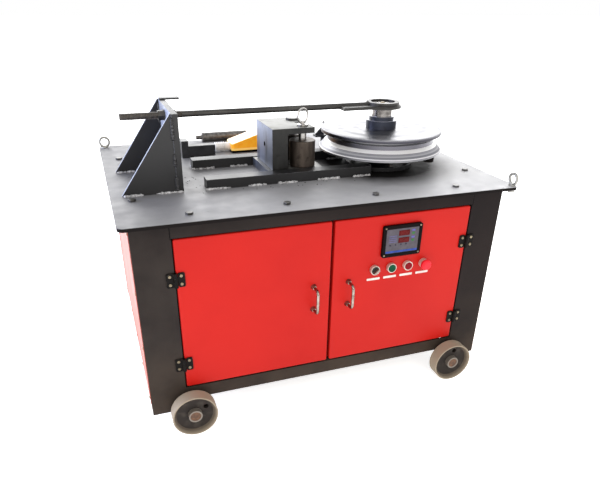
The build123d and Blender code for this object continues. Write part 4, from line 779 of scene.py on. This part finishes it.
def grow(name, tree, points, body, slot, finish, lines=(), **inputs):
    """Run a tree on points and lines, and keep what it makes as a plain mesh that rides on a body."""
    start = bpy.data.meshes.new(name)
    start.from_pydata(points, lines, [])
    source = bpy.data.objects.new(name + "_source", start)
    bpy.context.scene.collection.objects.link(source)
    grower = source.modifiers.new(tree.name, "NODES")
    grower.node_group = tree
    inputs["Finish"] = finish
    for socket in tree.interface.items_tree:
        if socket.in_out == "INPUT" and socket.name in inputs:
            grower[socket.identifier] = inputs[socket.name]
    evaluated = source.evaluated_get(bpy.context.evaluated_depsgraph_get())
    mesh = bpy.data.meshes.new_from_object(evaluated)
    mesh.name = name
    source.modifiers.remove(grower)
    bpy.data.objects.remove(source)
    keep(name, mesh, body, finish)


def joined(tree, shapes):
    """Several shapes as one geometry."""
    whole = tree.nodes.new("GeometryNodeJoinGeometry")
    for shape in shapes:
        tree.links.new(shape, whole.inputs[0])
    return whole.outputs[0]


def domed_screw_tree():
    """Domed screw heads with a cross recess, in shares of their radius."""
    tree, given = new_tree("domed_screws", ("Turn", "Radius"))
    dome = add(tree, "GeometryNodeMeshUVSphere", {"Segments": 24, "Rings": 12, "Radius": 1.0})
    slot_sizes = ((1.15, 0.24, 0.6), (0.24, 1.15, 0.6))
    slots = [add(tree, "GeometryNodeMeshCube", {"Size": size}) for size in slot_sizes]
    lifted = {"Geometry": joined(tree, slots), "Translation": (0.0, 0.0, 0.95)}
    recess = add(tree, "GeometryNodeTransform", lifted)
    cut = tree.nodes.new("GeometryNodeMeshBoolean")
    cut.operation = "DIFFERENCE"
    tree.links.new(dome, cut.inputs["Mesh 1"])
    tree.links.new(recess, cut.inputs["Mesh 2"])
    return close_heads(tree, given, cut.outputs[0], height=0.5, seed=3)


def hex_bolt_tree():
    """Hexagon bolt heads on round washers, in shares of their radius."""
    tree, given = new_tree("hex_bolts", ("Turn", "Radius"))
    washer = add(tree, "GeometryNodeMeshCylinder", {"Vertices": 28, "Radius": 1.25, "Depth": 0.36})
    prism = add(tree, "GeometryNodeMeshCylinder", {"Vertices": 6, "Radius": 1.0, "Depth": 1.1})
    prism = add(tree, "GeometryNodeTransform", {"Geometry": prism, "Translation": (0.0, 0.0, 0.55)})
    crown = {"Vertices": 6, "Radius Top": 0.82, "Radius Bottom": 1.0, "Depth": 0.14}
    crown = add(tree, "GeometryNodeMeshCone", crown)
    crown = add(tree, "GeometryNodeTransform", {"Geometry": crown, "Translation": (0.0, 0.0, 1.1)})
    return close_heads(tree, given, joined(tree, (washer, prism, crown)), height=0.8, seed=5)


def weld_tree():
    """Weld bead: overlapping ripples along each line, uneven in size."""
    tree, given = new_tree("weld_bead", ("Width", "Ripple", "Uneven"))
    curve = add(tree, "GeometryNodeMeshToCurve", {"Mesh": given["Geometry"]})
    steps = add(tree, "GeometryNodeResampleCurve", {"Curve": curve, "Length": given["Ripple"]}, mode="LENGTH")
    ripple = add(tree, "GeometryNodeMeshUVSphere", {"Segments": 8, "Rings": 5, "Radius": 0.5})
    tangent = add(tree, "GeometryNodeInputTangent")
    along = add(tree, "FunctionNodeAlignRotationToVector", {"Vector": tangent}, axis="X")
    least = add(tree, "ShaderNodeMath", {0: 1.0, 1: given["Uneven"]}, operation="SUBTRACT")
    most = add(tree, "ShaderNodeMath", {0: 1.0, 1: given["Uneven"]}, operation="ADD")
    uneven = add(tree, "FunctionNodeRandomValue", {"Min": least, "Max": most, "Seed": 11}, data_type="FLOAT")
    width = add(tree, "ShaderNodeMath", {0: uneven, 1: given["Width"]}, operation="MULTIPLY")
    size = add(tree, "ShaderNodeVectorMath", {0: (0.8, 1.0, 0.85), "Scale": width}, operation="SCALE")
    return close_tree(tree, given, ripple, points=steps, Rotation=along, Scale=size)


def spatter_tree():
    """Small round drops of weld spatter, each of its own size."""
    tree, given = new_tree("weld_spatter", ("Radius",))
    drop = add(tree, "GeometryNodeMeshIcoSphere", {"Radius": 1.0, "Subdivisions": 2})
    uneven = add(tree, "FunctionNodeRandomValue", {"Min": 0.5, "Max": 1.5, "Seed": 17}, data_type="FLOAT")
    size = add(tree, "ShaderNodeMath", {0: uneven, 1: given["Radius"]}, operation="MULTIPLY")
    return close_tree(tree, given, drop, Scale=size)


def thread_tree():
    """Screw thread along X: a ridge that winds round a bar from each given point."""
    tree, given = new_tree("screw_thread", ("Bar", "Length", "Pitch", "Ridge"))
    turns = add(tree, "ShaderNodeMath", {0: given["Length"], 1: given["Pitch"]}, operation="DIVIDE")
    radii = {"Start Radius": given["Bar"], "End Radius": given["Bar"]}
    winding = {"Resolution": 28, "Rotations": turns, "Height": given["Length"], **radii}
    winding = add(tree, "GeometryNodeCurveSpiral", winding)
    section = {"Resolution": 4, "Radius": given["Ridge"]}
    section = add(tree, "GeometryNodeCurvePrimitiveCircle", section, mode="RADIUS")
    swept = {"Curve": winding, "Profile Curve": section, "Fill Caps": True}
    return close_tree(tree, given, add(tree, "GeometryNodeCurveToMesh", swept), Rotation=RIGHT_TURN)


def fan_guard_tree():
    """Wire guard over a fan: rings on spokes."""
    spoke_count = 6
    ring_shares = (0.2, 0.4, 0.6, 0.8, 1.0)
    tree, given = new_tree("fan_guard", ("Turn", "Radius", "Wire"))
    wire = {"Resolution": 6, "Radius": given["Wire"]}
    wire = add(tree, "GeometryNodeCurvePrimitiveCircle", wire, mode="RADIUS")
    lines = []
    for share in ring_shares:
        radius = add(tree, "ShaderNodeMath", {0: given["Radius"], 1: share}, operation="MULTIPLY")
        ring = {"Resolution": 40, "Radius": radius}
        lines.append(add(tree, "GeometryNodeCurvePrimitiveCircle", ring, mode="RADIUS"))
    tip = add(tree, "ShaderNodeCombineXYZ", {"X": given["Radius"]})
    spoke = add(tree, "GeometryNodeCurvePrimitiveLine", {"End": tip})
    for index in range(spoke_count):
        turn = (0.0, 0.0, tau * index / spoke_count)
        lines.append(add(tree, "GeometryNodeTransform", {"Geometry": spoke, "Rotation": turn}))
    guard = add(tree, "GeometryNodeCurveToMesh", {"Curve": joined(tree, lines), "Profile Curve": wire})
    return close_tree(tree, given, guard, Rotation=given["Turn"])


domed_screws = domed_screw_tree()
hex_bolts = hex_bolt_tree()
weld_bead = weld_tree()
weld_spatter = spatter_tree()
screw_thread = thread_tree()
fan_guard = fan_guard_tree()

# Places of the screws and bolts
hinge_screw_rise = 12.5 * MM
hinge_screw_offset = 15.5 * MM
controller_screw_inset = 7 * MM
panel_screw_inset = 16 * MM
screws_up_panels = 4
screws_along_sides = 5
screws_along_rear = 6
cabinet_bolt_inset = 12 * MM
housing_bolt_count = 8
housing_bolt_circle = 96 * MM
motor_bolt_count = 4
motor_bolt_circle = 86 * MM
bench_z = high["table_top"].z
spindle_axis = middle["main_spindle"]
motor_y = middle["drive_motor"].y
hinge_x = (low["right_hinge_leaves"].x + high["frame_hinge_leaves"].x) / 2
outer_leaf_x = hinge_x + hinge_screw_offset
inner_leaf_x = hinge_x - hinge_screw_offset


def spread(start, end, count):
    """Evenly spaced places from start to end."""
    return [start + (end - start) * step / (count - 1) for step in range(count)]


def screw_row(start, end, count):
    """Places of screws between two edges of a panel, set in from both."""
    return spread(start + panel_screw_inset, end - panel_screw_inset, count)


def corner_places(node, axis, level, inset):
    """Four places near the corners of a node's box, at one level along an axis given by its number."""
    pairs = [(start + inset, end - inset) for start, end in zip(low[node], high[node])]
    pairs[axis] = (level,)
    return [(x, y, z) for x in pairs[0] for y in pairs[1] for z in pairs[2]]


def edge_places(across, up):
    """Places round the edge of a panel, from its places across and up."""
    sides = [(at, z) for at in (across[0], across[-1]) for z in up]
    return sides + [(at, z) for at in across[1:-1] for z in (up[0], up[-1])]


def hinge_places(*xs):
    """Two screws in each hinge leaf at those places across the front."""
    half = hinge_leaf_height / 2
    centres = (low["left_hinge_leaves"].z + half, high["left_hinge_leaves"].z - half)
    rises = (-hinge_screw_rise, hinge_screw_rise)
    zs = [centre + rise for centre in centres for rise in rises]
    return [(x, door_y - hinge_leaf_thickness, z) for x in xs for z in zs]


def housing_places(z):
    """Places round the spindle at that height."""
    angles = [tau * index / housing_bolt_count for index in range(housing_bolt_count)]
    circle = [(housing_bolt_circle * cos(angle), housing_bolt_circle * sin(angle)) for angle in angles]
    return [(spindle_axis.x + across, spindle_axis.y + back, z) for across, back in circle]


screw_zs = screw_row(panel_low.z, panel_high.z, screws_up_panels)
screw_ys = screw_row(panel_low.y, panel_high.y, screws_along_sides)
screw_xs = screw_row(low["rear_panel"].x, high["rear_panel"].x, screws_along_rear)
left_places = [(panel_low.x, y, z) for y, z in edge_places(screw_ys, screw_zs)]
right_places = [(panel_high.x, y, z) for y, z in edge_places(screw_ys, screw_zs)]
rear_places = [(x, high["rear_panel"].y, z) for x, z in edge_places(screw_xs, screw_zs)]
controller_places = corner_places("controller", 1, low["controller"].y, controller_screw_inset)
spindle_end = [(spindle_axis.x, spindle_axis.y, high["main_spindle"].z)]
reducer_places = corner_places("gear_reducer", 2, reducer_foot_z, cabinet_bolt_inset)
box_places = corner_places("electrical_box", 0, low["electrical_box"].x, cabinet_bolt_inset)
motor_face_x = high["drive_motor"].x - motor_flange_thickness
motor_angles = [tau * (index + 0.5) / motor_bolt_count for index in range(motor_bolt_count)]
motor_places = [
    (motor_face_x, motor_y + motor_bolt_circle * cos(angle), motor_axis_z + motor_bolt_circle * sin(angle))
    for angle in motor_angles
]
# Name, kind, places, body, facing, and radius of the heads in millimetres
fasteners = (
    ("frame_hinge_screws", domed_screws, hinge_places(-outer_leaf_x, outer_leaf_x), "frame", FRONT_TURN, 5.0),
    ("left_hinge_screws", domed_screws, hinge_places(-inner_leaf_x), "left_door", FRONT_TURN, 5.0),
    ("right_hinge_screws", domed_screws, hinge_places(inner_leaf_x), "right_door", FRONT_TURN, 5.0),
    ("controller_screws", domed_screws, controller_places, "right_door", FRONT_TURN, 3.2),
    ("left_panel_screws", domed_screws, left_places, "frame", LEFT_TURN, 5.5),
    ("right_panel_screws", domed_screws, right_places, "frame", RIGHT_TURN, 5.5),
    ("rear_panel_screws", domed_screws, rear_places, "frame", REAR_TURN, 5.5),
    ("spindle_end_screw", domed_screws, spindle_end, "spindle", UP_TURN, 8.0),
    ("housing_bolts", hex_bolts, housing_places(high["spindle_housing"].z), "frame", UP_TURN, 8.0),
    ("housing_nuts", hex_bolts, housing_places(low["table_top"].z), "frame", DOWN_TURN, 8.0),
    ("reducer_foot_bolts", hex_bolts, reducer_places, "frame", UP_TURN, 8.0),
    ("motor_flange_bolts", hex_bolts, motor_places, "frame", LEFT_TURN, 7.0),
    ("electrical_box_screws", domed_screws, box_places, "frame", LEFT_TURN, 4.5),
)
for name, tree, places, body, turn, radius in fasteners:
    finish = screw_zinc if tree is domed_screws else bolt_steel
    grow(name, tree, places, body, "bolt_steel", finish, Turn=turn, Radius=radius * MM)

guard_place = (low["drive_motor"].x, motor_y, motor_axis_z)
guard_sizes = {"Turn": LEFT_TURN, "Radius": 70 * MM, "Wire": 1.6 * MM}
grow("motor_fan_guard", fan_guard, [guard_place], "frame", "motor_paint", black_steel, **guard_sizes)

# Stitch welds along the guide rails and round the foot of the anchor, left bare; each is a line of two points
weld_z = bench_z + 1.5 * MM
stitch_shares = ((0.0, 0.13), (0.24, 0.34), (0.42, 0.53), (0.66, 0.79), (0.885, 0.99))
plate_shares = ((0.1, 0.3), (0.42, 0.6), (0.72, 0.9))
rail_low = low["guide_rails"]
rail_high = high["guide_rails"]
rail_length = rail_high.x - rail_low.x
rail_edges = (rail_low.y, rail_low.y + rail_width, rail_high.y - rail_width, rail_high.y)
bare_welds = [
    [(rail_low.x + share * rail_length, y, weld_z) for share in shares]
    for y in rail_edges
    for shares in stitch_shares
]
gusset_low = low["anchor_gussets"]
gusset_high = high["anchor_gussets"]
gusset_faces = (
    gusset_low.y, gusset_low.y + gusset_thickness, gusset_high.y - gusset_thickness, gusset_high.y
)
plate_back_x = gusset_high.x
plate_front_x = plate_back_x + plate_thickness
toe_weld = [gusset_low.x + along * MM for along in (4, 56)]
heel_weld = [plate_back_x + along * MM for along in (-60, 16)]
bare_welds += [[(x, y, weld_z) for x in xs] for y in gusset_faces for xs in (toe_weld, heel_weld)]
plate_y = low["anchor_plate"].y
plate_length = high["anchor_plate"].y - plate_y
bare_welds += [
    [(x, plate_y + share * plate_length, weld_z) for share in shares]
    for x in (plate_back_x, plate_front_x)
    for shares in plate_shares
]
# Welds up the corners of the anchor between heights in millimetres, painted over
corner_heights = ((9, 42), (79, 107), (153, 205))
painted_welds = [
    [(plate_back_x, y, bench_z + height * MM) for height in heights]
    for y in gusset_faces
    for heights in corner_heights
]
# Weld over the end of the tie rod's bar, in short straight runs
bar_weld_from_end = 116 * MM
bar_weld_runs = 6
bar_weld_x = high["tie_rod"].x - bar_weld_from_end
rod = middle["tie_rod_nuts"]
bar_weld = [
    (bar_weld_x, rod.y + tie_rod_radius * cos(angle), rod.z + tie_rod_radius * sin(angle))
    for angle in spread(0.0, pi, bar_weld_runs + 1)
]
tie_welds = [list(ends) for ends in zip(bar_weld, bar_weld[1:])]
# Name, lines, finish, then width and ripple in millimetres and unevenness
weld_groups = (
    ("bench_welds", bare_welds, weld_steel, 8, 2.4, 0.65),
    ("anchor_welds", painted_welds, fitting_enamel, 13, 5, 0.2),
    ("tie_ring_weld", tie_welds, rod_steel, 7, 2.5, 0.25),
)
for name, welds, finish, width, ripple, uneven in weld_groups:
    points = [point for line in welds for point in line]
    lines = [(2 * index, 2 * index + 1) for index in range(len(welds))]
    sizes = {"Width": width * MM, "Ripple": ripple * MM, "Uneven": uneven}
    grow(name, weld_bead, points, "frame", "bolt_steel", finish, lines, **sizes)

# Drops of spatter in front of the front rail, thinning out from it, and between the anchor and the rails
rail_drop_count = 46
rail_drop_ends = (rail_low.x - 40 * MM, rail_high.x + 20 * MM)
rail_drop_start = rail_low.y - 6 * MM
rail_drop_reach = 40 * MM
anchor_drop_count = 14
anchor_drop_across = (0.15, 0.85)
anchor_drop_along = (0.1, 0.6)
anchor_gap = rail_low.x - plate_front_x
chance = Random(7)
spatter = []
for _ in range(rail_drop_count):
    along = chance.uniform(*rail_drop_ends)
    spatter.append((along, rail_drop_start - rail_drop_reach * chance.random() ** 2, bench_z))
for _ in range(anchor_drop_count):
    across = plate_front_x + chance.uniform(*anchor_drop_across) * anchor_gap
    spatter.append((across, rail_low.y + chance.uniform(*anchor_drop_along) * plate_length, bench_z))
grow("weld_spatter", weld_spatter, spatter, "frame", "bolt_steel", black_steel, Radius=1.1 * MM)

# Threads on the tie rod on both sides of its nuts, and on the feed screw
thread_margin = 2 * MM
thread_ridge = 1.4 * MM
tie_sizes = {"Bar": tie_rod_radius, "Pitch": 4 * MM}
outer_start = (low["tie_rod"].x + thread_margin, rod.y, rod.z)
outer_length = low["tie_rod_nuts"].x - low["tie_rod"].x - 2 * thread_margin
inner_start = (high["tie_rod_nuts"].x, rod.y, rod.z)
inner_length = 18 * MM
feed_low = low["feed_screw"]
feed_high = high["feed_screw"]
feed_thread_sunk = 1 * MM
feed_sizes = {"Bar": (feed_high.z - feed_low.z) / 2 - feed_thread_sunk, "Pitch": 5 * MM}
feed_x = feed_low.x + feed_screw_end_length + thread_margin
feed_start = (feed_x, middle["feed_screw"].y, middle["feed_screw"].z)
feed_length = feed_high.x - feed_x - thread_margin
threads = (
    ("tie_rod_outer_thread", outer_start, outer_length, thread_steel, tie_sizes),
    ("tie_rod_inner_thread", inner_start, inner_length, thread_steel, tie_sizes),
    ("feed_screw_thread", feed_start, feed_length, screw_steel, feed_sizes),
)
for name, place, length, finish, sizes in threads:
    sizes = {"Length": length, "Ridge": thread_ridge, **sizes}
    grow(name, screw_thread, [place], "frame", "worn_steel", finish, **sizes)

# Floor, light and camera
floor_reach = 30.0
floor_corners = [(x * floor_reach, y * floor_reach, 0.0) for x, y in ((-1, -1), (1, -1), (1, 1), (-1, 1))]
floor_mesh = bpy.data.meshes.new("floor")
floor_mesh.from_pydata(floor_corners, [], [(0, 1, 2, 3)])
floor = bpy.data.objects.new("floor", floor_mesh)
bpy.context.scene.collection.objects.link(floor)
floor_finish, floor_tree, floor_place = new_finish("pale_studio_floor")
floor_tones = ((0.3, "#f7f7f6"), (0.7, "#fbfbfa"))
_, floor_colour = toned_patches(floor_tree, floor_place, 1430, 2.0, *floor_tones)
floor_glow = {"Emission Color": "#ffffff", "Emission Strength": 0.7}
floor_sockets = {"Base Color": floor_colour, "Roughness": 0.9, "Specular IOR Level": 0.1, **floor_glow}
floor_mesh.materials.append(close_finish(floor_finish, floor_sockets))

studio = bpy.data.worlds.new("studio")
studio.use_nodes = True
studio.node_tree.nodes["Background"].inputs["Color"].default_value = (1.0, 1.0, 1.0, 1.0)
studio.node_tree.nodes["Background"].inputs["Strength"].default_value = 1.0
bpy.context.scene.world = studio
bpy.context.scene.view_settings.view_transform = "Standard"


def softbox(name, place, aim, width, height, power, colour):
    """A large soft light that the camera doesn't see, in metres and watts."""
    light = bpy.data.lights.new(name, "AREA")
    light.shape = "RECTANGLE"
    light.size = width
    light.size_y = height
    light.energy = power
    light.color = linear(colour)[:3]
    lamp = bpy.data.objects.new(name, light)
    lamp.location = place
    lamp.rotation_euler = (Vector(aim) - Vector(place)).to_track_quat("-Z", "Y").to_euler()
    lamp.visible_camera = False
    bpy.context.scene.collection.objects.link(lamp)


softbox("back_light", (0.9, 4.4, 3.1), (0.1, 0.0, 0.7), 9.5, 3.6, 370, "#ffffff")
softbox("left_light", (-4.0, 0.9, 1.5), (0.0, 0.0, 0.7), 2.5, 2.0, 190, "#d3dcff")
softbox("front_light", (-0.6, -3.6, 2.8), (0.0, 0.0, 0.6), 3.0, 2.0, 55, "#fff4e6")

# The camera's place in metres and its turns in degrees, fitted to the photo
camera_place = (-0.62675, -1.8275, 1.2012)
camera_turns = (60.604, -0.794, -19.572)
camera_data = bpy.data.cameras.new("photo_camera")
camera_data.sensor_fit = "HORIZONTAL"
camera_data.sensor_width = 36.0
camera_data.lens = 34.05
camera_data.shift_x = 0.0041
camera_data.shift_y = 0.1
camera = bpy.data.objects.new("photo_camera", camera_data)
camera.location = camera_place
camera.rotation_euler = Euler([radians(turn) for turn in camera_turns])
bpy.context.scene.collection.objects.link(camera)
bpy.context.scene.camera = camera

bpy.context.view_layer.update()
